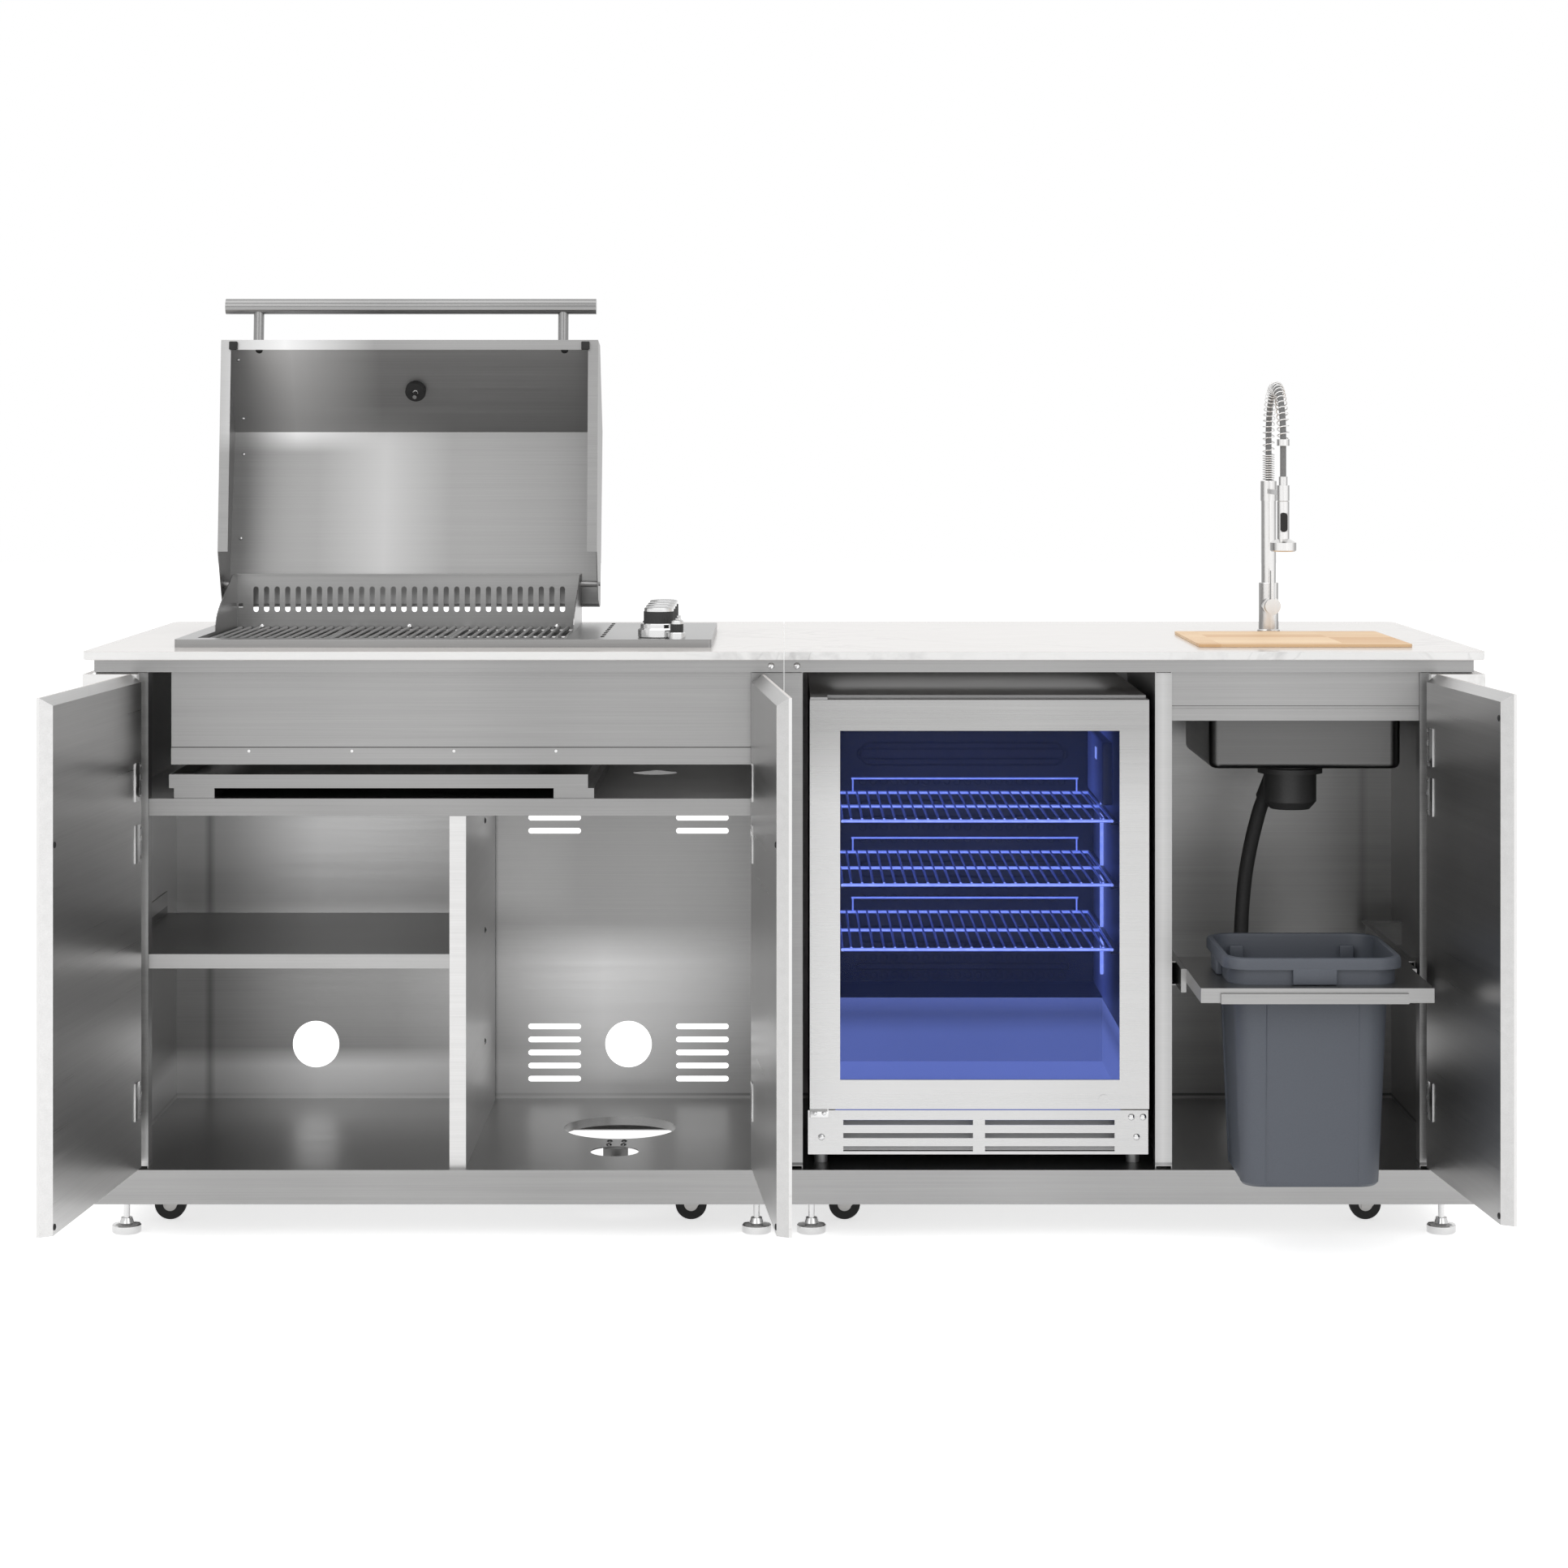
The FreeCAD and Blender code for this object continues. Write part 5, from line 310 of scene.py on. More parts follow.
def sheet_steel(name, level, rough, front=0, side=1, turn=0.0, shade_lines=(), painted_zones=()):
    """Ground steel with its grain along axis front, or along axis side on faces that look left or right.

    Lines of painted shadow, where two edges meet, are given as (height, width, first x, last x).
    Zones of painted light are given as (x, half width, z, half height, gain): painted brighter as
    painted highlight where the gain is above zero, and darker as painted shade where it is below.
    """
    finish = Finish(name, Metallic=1.0)
    sideways = finish.facing()[0] > SIDE_FACING
    across = grain(finish, front, turn)
    inward = grain(finish, side, turn)
    scratch = across * (1 - sideways) + inward * sideways
    # Painted reflection: broad upright streaks, lighter and darker, mixed into the grain's tone.
    reflection_streaks = finish.noise(STREAK_SCALE, 1.0, (1, 1, STREAK_FLAT))
    tone = scratch * SCRATCH_SHARE + reflection_streaks * (1 - SCRATCH_SHARE)
    darkest = grey(level * (1 - TONE_SPAN), STEEL_WARM)
    ground = finish.blend(tone, darkest, grey(level * (1 + TONE_SPAN), STEEL_WARM))
    # Painted shadow: a dark line along each of these edges.
    for spot, width, start, end in shade_lines:
        shaded_band = (abs(finish.along(2) - spot) < width / 2) * (finish.along(0) > start) * (finish.along(0) < end)
        ground = finish.blend(shaded_band * SHADE_LINE_SHARE, ground, grey(PAINTED_SHADE_TONE))
    # Painted light: each zone is blended toward the highlight grey, and toward the shade grey where its gain
    # is below zero.
    for centre, half, level_z, half_z, gain in painted_zones:
        fade = finish.ramp(abs(finish.along(0) - centre) / half, [(0.0, WHITE), (1.0, BLACK)])
        zone = finish.ramp(abs(finish.along(2) - level_z) / half_z, [(PAINTED_ZONE_FULL, WHITE), (1.0, BLACK)])
        aim = grey(PAINTED_HIGHLIGHT_TONE if gain > 0 else PAINTED_SHADE_TONE)
        ground = finish.blend(fade * zone * abs(gain), ground, aim)
    finish.set({
        "Base Color": ground,
        "Roughness": scratch * ROUGH_SPAN + (rough - ROUGH_SPAN / 2),
        "Normal": finish.bump(scratch, GRAIN_DEPTH),
    })
    return finish


cabinet_steel = sheet_steel("cabinet_steel", 0.32, 0.32)


# Plinths, feet and casters
# Each cabinet stands on a folded steel base with four levelling feet and four small casters.
# The feet are turned bright steel on threaded stems, the wheels black rubber on pressed forks.

RUBBER_TONE = 0.012
FORK_TONE = 0.30
HUB_R = 0.0125
HUB_OUT = 0.0008

dress(cabinet_steel, "base_left", "base_right")
bright_steel = Finish("bright_steel", Metallic=1.0)
bright_wear = bright_steel.noise(38.0, 4.0)
bright_steel.set({
    "Base Color": bright_steel.blend(bright_wear, grey(0.58), grey(0.72)),
    "Roughness": bright_wear * 0.12 + 0.08,
})
dress(bright_steel, "levelling_feet", "dome_bolts")

# Painted shade: faces that look up are painted darker than the sides, as on the caps' tops; the turning marks
# are the metal's own.
cap_steel = Finish("cap_steel", Metallic=1.0)
cap_turning = cap_steel.noise(60.0, 3.0)
cap_steel.set({
    "Base Color": cap_steel.blend(cap_steel.facing()[2] * 0.6 + cap_turning * 0.3, grey(0.74), grey(0.40)),
    "Roughness": cap_turning * 0.1 + 0.14,
})

fork_plating = Finish("fork_plating", Metallic=1.0)
fork_cloud = fork_plating.noise(24.0, 5.0)
fork_plating.set({
    "Base Color": fork_plating.blend(fork_cloud, grey(FORK_TONE, 0.02), grey(FORK_TONE * 1.5, 0.02)),
    "Roughness": fork_cloud * 0.2 + 0.25,
})
dress(fork_plating, "caster_forks")

tyre_rubber = Finish("tyre_rubber", Metallic=0.0, Specular_IOR_Level=0.35)
tyre_dust = tyre_rubber.noise(90.0, 6.0)
tyre_rubber.set({
    "Base Color": tyre_rubber.blend(tyre_dust, grey(RUBBER_TONE), grey(RUBBER_TONE * 2.6)),
    "Roughness": tyre_dust * 0.25 + 0.5,
    "Normal": tyre_rubber.bump(tyre_dust, 0.0004),
})
wheels = ["front_wheel_%d" % i for i in range(1, 5)]
dress(tyre_rubber, "rear_wheels", *wheels)


def piece(name, shape, finish, body, crease=35):
    """A finished bmesh becomes a piece that rides on a body, sharp where its faces meet steeply."""
    bmesh.ops.remove_doubles(shape, verts=shape.verts, dist=1e-6)
    bmesh.ops.recalc_face_normals(shape, faces=shape.faces)
    for face in shape.faces:
        face.smooth = True
    for edge in shape.edges:
        edge.smooth = edge.calc_face_angle(0) < math.radians(crease)
    mesh = bpy.data.meshes.new(name)
    shape.to_mesh(mesh)
    shape.free()
    mesh.materials.append(finish.material)
    made = bpy.data.objects.new(name, mesh)
    bpy.context.collection.objects.link(made)
    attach(made, body)
    return made


def merge(made, shape):
    """What one bmesh holds is added to another."""
    mesh = bpy.data.meshes.new("part")
    made.to_mesh(mesh)
    made.free()
    shape.from_mesh(mesh)
    bpy.data.meshes.remove(mesh)
    return shape


def lathe(profile, centre, axis=(0, 0, 1), steps=64, shape=None):
    """A profile of (radius, height) points spun round an axis through centre."""
    turned = bmesh.new()
    points = [turned.verts.new((radius, 0, height)) for radius, height in profile]
    edges = [turned.edges.new(pair) for pair in zip(points, points[1:])]
    bmesh.ops.spin(turned, geom=points + edges, cent=(0, 0, 0), axis=(0, 0, 1), dvec=(0, 0, 0),
                   angle=math.tau, steps=steps, use_merge=True, use_duplicate=False)
    bmesh.ops.remove_doubles(turned, verts=turned.verts, dist=1e-7)
    tilt = Vector((0, 0, 1)).rotation_difference(Vector(axis)).to_matrix().to_4x4()
    bmesh.ops.transform(turned, matrix=Matrix.Translation(centre) @ tilt, verts=turned.verts)
    return turned if shape is None else merge(turned, shape)


def middle(node):
    low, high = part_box(node)
    return (low + high) / 2


def hub_caps(shape, centre, axis, half):
    for side in (-1, 1):
        out = Vector(axis) * side
        profile = [(0, HUB_OUT), (HUB_R * 0.35, HUB_OUT), (HUB_R * 0.5, HUB_OUT * 0.4),
                   (HUB_R * 0.9, HUB_OUT * 0.4), (HUB_R, 0.0)]
        lathe(profile, centre + out * half, out, 32, shape)


def wheel_hubs():
    for name in wheels:
        low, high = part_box(name)
        caps = bmesh.new()
        hub_caps(caps, middle(name), (0, 1, 0), (high.y - low.y) / 2)
        piece(name + "_hub", caps, fork_plating, name)


wheel_hubs()


def bar(shape, centre, size, round_off, turn=None):
    """A small block with rounded edges, added to a shape."""
    made = bmesh.ops.create_cube(shape, size=1.0)["verts"]
    bmesh.ops.scale(shape, vec=size, verts=made)
    edges = list({edge for vert in made for edge in vert.link_edges})
    rounded = bmesh.ops.bevel(shape, geom=edges, offset=round_off, offset_type="OFFSET", segments=3,
                              profile=0.5, affect="EDGES", material=-1)
    corners = list({vert for face in rounded["faces"] for vert in face.verts})
    place = Matrix.Translation(centre) @ (turn or Matrix.Identity(3)).to_4x4()
    bmesh.ops.transform(shape, matrix=place, verts=corners)


# Folded steel cabinets
# Side walls, posts, floor and back panel of each cabinet are one welded shell of sheet steel,
# with a divider, a half shelf, a heat shelf and aprons screwed in between.

# Painted shadow: dark lines at the apron's folds, where the floor meets the back wall, and behind the half
# shelf.
APRON_SHADE_LINES = ((0.858, 0.0016, -2.0, 2.0), (0.9305, 0.0016, 0.0, 2.0))
FOOT_SHADE_LINES = ((0.128, 0.0050, -2.0, 2.0),)
SHELF_SHADE_LINES = ((0.502, 0.0130, -2.0, 2.0),)
# Painted light in the left cabinet: brighter zones high and low on its bay walls and low in the tank bay,
# painted highlights, and the outer front flange at the left end darker, painted shade.
LEFT_PAINTED_LIGHT = (
    (-0.90, 0.50, 0.64, 0.18, 0.54),
    (-0.90, 0.60, 0.10, 0.12, 0.84),
    (-0.35, 0.40, 0.20, 0.26, 0.50),
    (-1.1115, 0.012, 0.40, 1.2, -0.45),
)
# Painted light in the right cabinet: the post between its bays brighter, a painted highlight, and the outer
# front flange at the right end darker, painted shade.
RIGHT_PAINTED_LIGHT = ((0.6645, 0.03, 0.50, 0.90, 0.26), (1.120, 0.012, 0.40, 1.2, -0.25))

# Painted light: these copies of one steel differ in level, each part set as bright as it looks lit, from the
# dim heat shelf to the bright divider.
inner_steel = sheet_steel("inner_steel", 0.30, 0.36, shade_lines=FOOT_SHADE_LINES, painted_zones=LEFT_PAINTED_LIGHT)
shade_steel = sheet_steel("shade_steel", 0.33, 0.36, shade_lines=FOOT_SHADE_LINES, painted_zones=RIGHT_PAINTED_LIGHT)
divider_steel = sheet_steel("divider_steel", 0.60, 0.36)
shelf_steel = sheet_steel("shelf_steel", 0.38, 0.36, shade_lines=SHELF_SHADE_LINES)
tray_steel = sheet_steel("tray_steel", 0.285, 0.30)
apron_steel = sheet_steel("apron_steel", 0.315, 0.34, shade_lines=APRON_SHADE_LINES)
dress(cabinet_steel, "cabinet_bands")
dress(tray_steel, "heat_shelf")
dress(apron_steel, "bay_aprons")
dress(inner_steel, "carcass_left")
dress(shade_steel, "carcass_right")
dress(divider_steel, "tank_bay_divider")
dress(shelf_steel, "half_shelf")


# Stone worktop and cladding
# The two slabs are 15 mm sintered stone, honed on top, and the doors and ends are faced with
# 5 mm panels of the same white stone. Soft grey veins wander through it, gathered in places.

STONE_WHITE = (0.97, 0.965, 0.955, 1)
# Painted shade: the darker tone of faces that look up.
STONE_TOP_SHADE = (0.723, 0.688, 0.660, 1)
VEIN_GREY = (0.40, 0.39, 0.39, 1)
VEIN_SCALE = 1.5
VEIN_THIN = 26.0
MAIN_VEIN = 0.50
FINE_VEIN = 0.30
TOP_FAINTER = 0.55


def vein(finish, scale, thin, offset):
    """A thin wandering line, 1 on the vein and 0 away from it."""
    drift = finish.noise(scale, 7.0, warp=1.2, offset=offset)
    return finish.fall(abs(drift * 2 - 1.0), thin)


def veined_stone(name, rough):
    finish = Finish(name, Metallic=0.0, Specular_IOR_Level=0.5)
    gather = finish.noise(1.1, 2.0, offset=(3.1, 0.4, 0.2))
    there = finish.ramp(gather, [(0.54, BLACK), (0.72, WHITE)])
    main = vein(finish, VEIN_SCALE, VEIN_THIN, (0, 0, 0))
    fine = vein(finish, VEIN_SCALE * 3.4, VEIN_THIN * 0.8, (5, 2, 1))
    cloud = finish.noise(3.0, 6.0, warp=0.8)
    speck = finish.noise(420.0, 3.0)
    upward = finish.facing()[2]
    # Painted shade: faces that look up are painted the darker tone.
    ground = finish.blend(upward, STONE_WHITE, STONE_TOP_SHADE)
    veins = (main * MAIN_VEIN + fine * FINE_VEIN) * there * (1.0 - upward * TOP_FAINTER)
    mark = veins + cloud * 0.03 + speck * 0.02
    finish.set({
        "Base Color": finish.blend(mark, ground, VEIN_GREY),
        "Roughness": cloud * 0.06 + rough,
        "Coat Weight": 0.15,
    })
    return finish


slab_stone = veined_stone("slab_stone", 0.16)
cladding_stone = veined_stone("cladding_stone", 0.30)
dress(slab_stone, "worktop_left", "worktop_right")
dress(cladding_stone, "end_claddings", "door_left_cladding", "door_middle_cladding", "door_right_cladding")


# Doors and hinges
# Each door is a shallow folded pan behind its stone face, with black rubber buffers on the
# inside of its free edge. The hinges are bright pressed plates with a round pin.

DOOR_OPEN = math.radians(95)
DOOR_LEAN = math.radians(5)
HINGE_TO_PANEL = 0.0099
PANEL_INSIDE = 0.016
BUFFER_R = 0.0052
BUFFER_T = 0.0022
BUFFER_IN = 0.021
SCREW_R = 0.0036
SCREW_RISE = 0.0022
HINGE_SCREW_R = 0.0034
HINGE_SCREW_RISE = 0.0016
HINGE_SCREW_IN = 0.0165
HINGE_SCREW_UP = 0.026
HINGE_PAD = (0.009, 0.0016, 0.011)
HINGE_PAD_UP = 0.0065
HINGE_PAD_LIFT = 0.0007
LEAF = (0.0304, 0.0018, 0.0664)
LEAF_IN = 0.0379
LEAF_ROUND = 0.0004

# Each door: body, width, heights of its buffers, heights of its hinges, side it hangs on.
DOORS = (
    ("door_left", 0.536, (0.141, 0.752), (0.2487, 0.696, 0.803), -1),
    ("door_middle", 0.536, (0.141, 0.752), (0.2487, 0.696, 0.803), 1),
    ("door_right", 0.456, (0.141, 0.948), (0.2487, 0.7776, 0.8635), 1),
)

# Painted light: the two copies of the door steel differ in level, the left door's inside set brighter.
left_door_steel = sheet_steel("left_door_steel", 0.60, 0.30, front=1, turn=DOOR_LEAN)
right_door_steel = sheet_steel("right_door_steel", 0.50, 0.30, front=1, turn=-DOOR_LEAN)
dress(left_door_steel, "door_left")
dress(right_door_steel, "door_middle", "door_right")


def joint_place(name):
    return next(Vector(joint["pos_m"]) for joint in frame["joints"] if joint["name"] == name)


def screw_head(shape, place, out, radius=SCREW_R, rise=SCREW_RISE):
    profile = [(0, rise), (radius * 0.55, rise * 0.85), (radius * 0.9, rise * 0.4), (radius, 0.0)]
    lathe(profile, place, out, 20, shape)


def door_spot(body, side, across, depth, z):
    """A place on the inside of an open door, from its distance across and behind the hinge line."""
    pivot = joint_place(body + "_hinge")
    seat = Matrix.Rotation(side * DOOR_OPEN, 3, "Z") @ Vector((-side * across, depth, 0))
    return Vector((pivot.x + seat.x, pivot.y + seat.y, z))


def door_buffers(body, width, heights, side):
    """Black rubber buttons near the free edge; side is 1 for a door hinged on its right."""
    out = Matrix.Rotation(side * DOOR_OPEN, 3, "Z") @ Vector((0, 1, 0))
    profile = [(0, BUFFER_T), (BUFFER_R * 0.6, BUFFER_T), (BUFFER_R, BUFFER_T * 0.5), (BUFFER_R, 0.0), (0, 0)]
    buttons = bmesh.new()
    for z in heights:
        place = door_spot(body, side, width - BUFFER_IN + HINGE_TO_PANEL, PANEL_INSIDE, z)
        lathe(profile, place, out, 24, buttons)
    piece(body + "_buffers", buttons, tyre_rubber, body)


def door_screws(body, heights, side):
    """The bright leaf of each hinge on the inside of a door, its two screws and its stop pad."""
    swing = Matrix.Rotation(side * DOOR_OPEN, 3, "Z")
    out = swing @ Vector((0, 1, 0))
    heads = bmesh.new()
    for z in heights:
        bar(heads, door_spot(body, side, LEAF_IN, PANEL_INSIDE + LEAF[1] / 2, z), LEAF, LEAF_ROUND, swing)
        for lift in (-HINGE_SCREW_UP, HINGE_SCREW_UP):
            seat = door_spot(body, side, HINGE_SCREW_IN, PANEL_INSIDE, z + lift)
            screw_head(heads, seat, out, HINGE_SCREW_R, HINGE_SCREW_RISE)
        seat = door_spot(body, side, HINGE_SCREW_IN, PANEL_INSIDE + HINGE_PAD_LIFT, z + HINGE_PAD_UP)
        bar(heads, seat, HINGE_PAD, LEAF_ROUND, swing)
    piece(body + "_screws", heads, cap_steel, body)


for door, width, buffer_heights, hinge_heights, side in DOORS:
    door_buffers(door, width, buffer_heights, side)
for door, width, buffer_heights, hinge_heights, side in DOORS:
    door_screws(door, hinge_heights, side)
dress(bright_steel, "hinge_plates")
dress(cabinet_steel, "bin_slides")


# Grill
# A drop-in gas grill: a steel frame on the slab, a firebox below with four burners, rod grates,
# and a folded hood on two pivots. The control panel carries four knobs and the ignition button.

# Painted reflection: two zones of the hood painted brighter, one high up and an upright band lower down.
HOOD_PAINTED_LIGHT = ((-0.95, 0.17, 1.50, 0.13, 0.66), (-0.775, 0.13, 1.26, 0.20, 0.24))

# Painted light: the grill's copies of one steel differ in level as each part looks lit, the grates set
# brightest and the handle darkest.
grill_steel = sheet_steel("grill_steel", 0.34, 0.30)
grate_steel = sheet_steel("grate_steel", 0.52, 0.30)
hood_steel = sheet_steel("hood_steel", 0.31, 0.42, painted_zones=HOOD_PAINTED_LIGHT)
dress(grill_steel, "grill_frame", "burners")
dress(tray_steel, "drip_tray")
dress(grate_steel, "cooking_grates")
dress(grill_steel, "firebox")
handle_steel = sheet_steel("handle_steel", 0.27, 0.22)
dress(hood_steel, "hood")
dress(handle_steel, "hood_handle")
dress(bright_steel, "knob_bezels", "thermometer")


# Hood fittings
# Screws hold the hood's side walls to its folded front, black plugs cap the handle's bolts, two
# rubber blocks meet the frame when it shuts, and a dial thermometer sits in the middle.

HOOD_SHUT = math.radians(-96)
HOOD_EDGES = ((0.106, 1.122), (0.262, 1.230), (0.600, 1.192))
HOOD_X = (-1.072, -0.354)
SCREW_IN = 0.0195
PLUG_X = (-1.0105, -0.4225)
PLUG_R = 0.0068
BLOCK_X = (-1.048, -0.378)
BLOCK_SPOT = (0.1155, 1.0463)
BLOCK_SIZE = (0.0154, 0.0154, 0.0078)
BLOCK_ROUND = 0.0012
PANEL_SCREWS = ((0, 0.16), (0, 0.84), (1, 0.13), (1, 0.62))
PANEL_SKIN = 0.0016
PLUG_SHARE = 0.045
DIAL_R = 0.0292
DIAL_PROUD = 0.0160
DIAL_TICKS = 13
DIAL_SWEEP = math.radians(270)
DIAL_TICK = (0.0011, 0.0045, 0.0004)
DIAL_HAND = (0.0012, DIAL_R * 0.95, 0.0005)
NUT_PROUD = 0.0138
GAUGE_NUT = ((0.0055, 0.0012), (0.0185, 0.0012), (0.0196, 0.0), (0.0196, -0.0118), (0.0192, -0.0120))
FRONT_OVERHANG = 0.018
cabinet_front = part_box("worktop_left")[0].y + FRONT_OVERHANG
hood_pivot = joint_place("hood_hinge")
hood_swing = Matrix.Rotation(HOOD_SHUT, 3, "X")


def hood_spot(x, panel, share, proud):
    """A place on the inside of a hood panel as the hood stands open, and the way out of the panel."""
    start, end = (Vector((0, y + cabinet_front, z)) for y, z in HOOD_EDGES[panel:panel + 2])
    along = (end - start).normalized()
    inward = Vector((0, along.z, -along.y))
    spot = start.lerp(end, share) + inward * proud
    open_spot = hood_pivot + hood_swing @ (spot - hood_pivot)
    return Vector((x, open_spot.y, open_spot.z)), hood_swing @ inward


def hood_fittings():
    """The screws, plugs and rubber faces on the inside of the hood."""
    screws = bmesh.new()
    for x in (HOOD_X[0] + SCREW_IN, HOOD_X[1] - SCREW_IN):
        for panel, share in PANEL_SCREWS:
            screw_head(screws, *hood_spot(x, panel, share, PANEL_SKIN))
    piece("hood_screws", screws, bright_steel, "hood")
    plugs = bmesh.new()
    for x in PLUG_X:
        place, out = hood_spot(x, 0, PLUG_SHARE, PANEL_SKIN)
        lathe([(0, 0.003), (PLUG_R * 0.8, 0.003), (PLUG_R, 0.0015), (PLUG_R, 0.0)], place, out, 24, plugs)
    for x in BLOCK_X:
        spot = Vector((x, BLOCK_SPOT[0] + cabinet_front, BLOCK_SPOT[1]))
        spot = hood_pivot + hood_swing @ (spot - hood_pivot)
        bar(plugs, spot, BLOCK_SIZE, BLOCK_ROUND, hood_swing)
    piece("hood_rubbers", plugs, tyre_rubber, "hood")


def hood_dial():
    """The thermometer's ring, face, marks and hand outside, and its nut inside."""
    x = sum(HOOD_X) / 2
    seat, inward = hood_spot(x, 0, 0.5, -DIAL_PROUD)
    out = -inward
    rim = [(DIAL_R, 0.0004), (DIAL_R + 0.0006, 0.0020), (DIAL_R + 0.0022, 0.0020)]
    ring = lathe(rim + [(DIAL_R + 0.0036, -0.0030)], seat, out, 96)
    piece("dial_ring", ring, bright_steel, "hood")
    face = lathe([(0, 0.0006), (DIAL_R, 0.0006)], seat, out, 96)
    piece("dial_face", face, dial_white, "hood")
    marks = bmesh.new()
    tilt = Vector((0, 0, 1)).rotation_difference(out).to_matrix()
    for i in range(DIAL_TICKS):
        angle = -DIAL_SWEEP / 2 + DIAL_SWEEP * i / (DIAL_TICKS - 1)
        spin = tilt @ Matrix.Rotation(angle, 3, "Z")
        bar(marks, seat + spin @ Vector((0, DIAL_R * 0.84, 0.0007)), DIAL_TICK, 0.0001, spin)
    spin = tilt @ Matrix.Rotation(-DIAL_SWEEP / 2, 3, "Z")
    bar(marks, seat + spin @ Vector((0, DIAL_R * 0.3, 0.0012)), DIAL_HAND, 0.0002, spin)
    lathe([(0, 0.0024), (0.0022, 0.0022), (0.003, 0.0008)], seat, out, 24, marks)
    piece("dial_marks", marks, tyre_rubber, "hood")
    nut = lathe(GAUGE_NUT, *hood_spot(x, 0, 0.5, NUT_PROUD), 48)
    piece("gauge_nut", nut, tyre_rubber, "hood")


dial_white = Finish("dial_white", Metallic=0.0)
dial_mottle = dial_white.noise(200.0, 3.0)
dial_white.set({
    "Base Color": dial_white.blend(dial_mottle, grey(0.72), grey(0.80)),
    "Roughness": dial_mottle * 0.1 + 0.3,
})
hood_fittings()
hood_dial()


# Knobs
# Each knob is a black ribbed band of heatproof plastic under a bright domed cap.

knob_black = Finish("knob_black", Metallic=0.0)
knob_bloom = knob_black.noise(160.0, 5.0)
knob_black.set({
    "Base Color": knob_black.blend(knob_bloom, grey(0.012), grey(0.03)),
    "Roughness": knob_bloom * 0.2 + 0.32,
    "Normal": knob_black.bump(knob_bloom, 0.0001),
})

KNOB_CAP = 0.0079
KNOB_RIBS = 60
IGNITER_CAP = 0.0067
IGNITER_RIBS = 28
RIB_DEPTH = 0.00045
CAP_IN = 0.0008


def ribbed_band(radius, low, high, centre, ribs):
    """A ring whose outside has fine upright ribs, closed above and below."""
    band = bmesh.new()
    ring = bmesh.ops.create_circle(band, cap_ends=True, segments=ribs * 4, radius=radius)["verts"]
    for i, vert in enumerate(ring):
        if i % 4 < 2:
            vert.co *= 1 - RIB_DEPTH / radius
    top = bmesh.ops.extrude_face_region(band, geom=band.faces[:])
    raised = [v for v in top["geom"] if isinstance(v, bmesh.types.BMVert)]
    bmesh.ops.translate(band, vec=(0, 0, high - low), verts=raised)
    bmesh.ops.translate(band, vec=(centre.x, centre.y, low), verts=band.verts)
    return band


def knob_pieces(name, cap, ribs):
    """The ribbed band of a knob or button, and the domed cap let into it."""
    low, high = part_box(name)
    radius = (high.x - low.x) / 2
    centre = Vector(((low.x + high.x) / 2, high.y - radius, 0))
    band = ribbed_band(radius, low.z, high.z - cap, centre, ribs)
    grip = piece(name + "_band", band, knob_black, name)
    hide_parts(name)
    edge = radius - CAP_IN
    dome = [(0, low.z + 0.001), (edge, low.z + 0.001), (edge, high.z - cap * 0.35),
            (edge - cap * 0.12, high.z - cap * 0.18), (edge - cap * 0.55, high.z),
            (radius * 0.62, high.z - cap * 0.10), (0, high.z - cap * 0.16)]
    piece(name + "_cap", lathe(dome, centre), cap_steel, name)


for i in range(1, 5):
    knob_pieces("knob_%d" % i, KNOB_CAP, KNOB_RIBS)
knob_pieces("igniter_button", IGNITER_CAP, IGNITER_RIBS)


# Sink, drain and board
# A deep drawn steel bowl hangs under the slab's cut-out with a plastic waste and a hose. A
# bamboo board of glued strips drops into the opening.

BAMBOO_LIGHT = (0.95, 0.72, 0.47, 1)
BAMBOO_DARK = (0.70, 0.42, 0.20, 1)

# Painted shade: the bowl's steel is set far darker than the rest, for the shade inside it.
bowl_steel = sheet_steel("bowl_steel", 0.125, 0.34)
dress(bowl_steel, "sink_bowl")
drain_plastic = Finish("drain_plastic", Metallic=0.0)
drain_grain = drain_plastic.noise(240.0, 4.0)
drain_plastic.set({
    "Base Color": drain_plastic.blend(drain_grain, grey(0.055), grey(0.085)),
    "Roughness": drain_grain * 0.2 + 0.4,
    "Normal": drain_plastic.bump(drain_grain, 0.0001),
})
dress(drain_plastic, "sink_drain", "drain_hose")

bamboo = Finish("bamboo", Metallic=0.0, Specular_IOR_Level=0.4)
strip_place = bamboo.node("ShaderNodeMapping", inputs={"Vector": bamboo.place(), "Scale": (4.5, 12.0, 2.0)})
strips = bamboo.node("ShaderNodeTexVoronoi", {"feature": "F1", "distance": "CHEBYCHEV"},
                     {"Vector": strip_place, "Scale": 1.0, "Randomness": 0.0}, output=1)
strip_tone = bamboo.node("ShaderNodeSeparateColor", inputs={0: strips})
fibre = bamboo.noise(900.0, 3.0, stretch=(0.02, 1, 1))
bamboo_tone = strip_tone * 0.8 + fibre * 0.25
bamboo.set({
    "Base Color": bamboo.blend(bamboo_tone, BAMBOO_LIGHT, BAMBOO_DARK),
    "Roughness": fibre * 0.15 + 0.42,
    "Normal": bamboo.bump(fibre, 0.0001),
})
dress(bamboo, "cutting_board")


# Faucet
# A spring faucet in brushed nickel: body and lever, a swivelling tube, a coiled spring round the
# black hose, and a spray head held in its dock.

nickel = Finish("nickel", Metallic=1.0)
nickel_grain = nickel.noise(700.0, 2.0, stretch=(1, 1, 0.02))
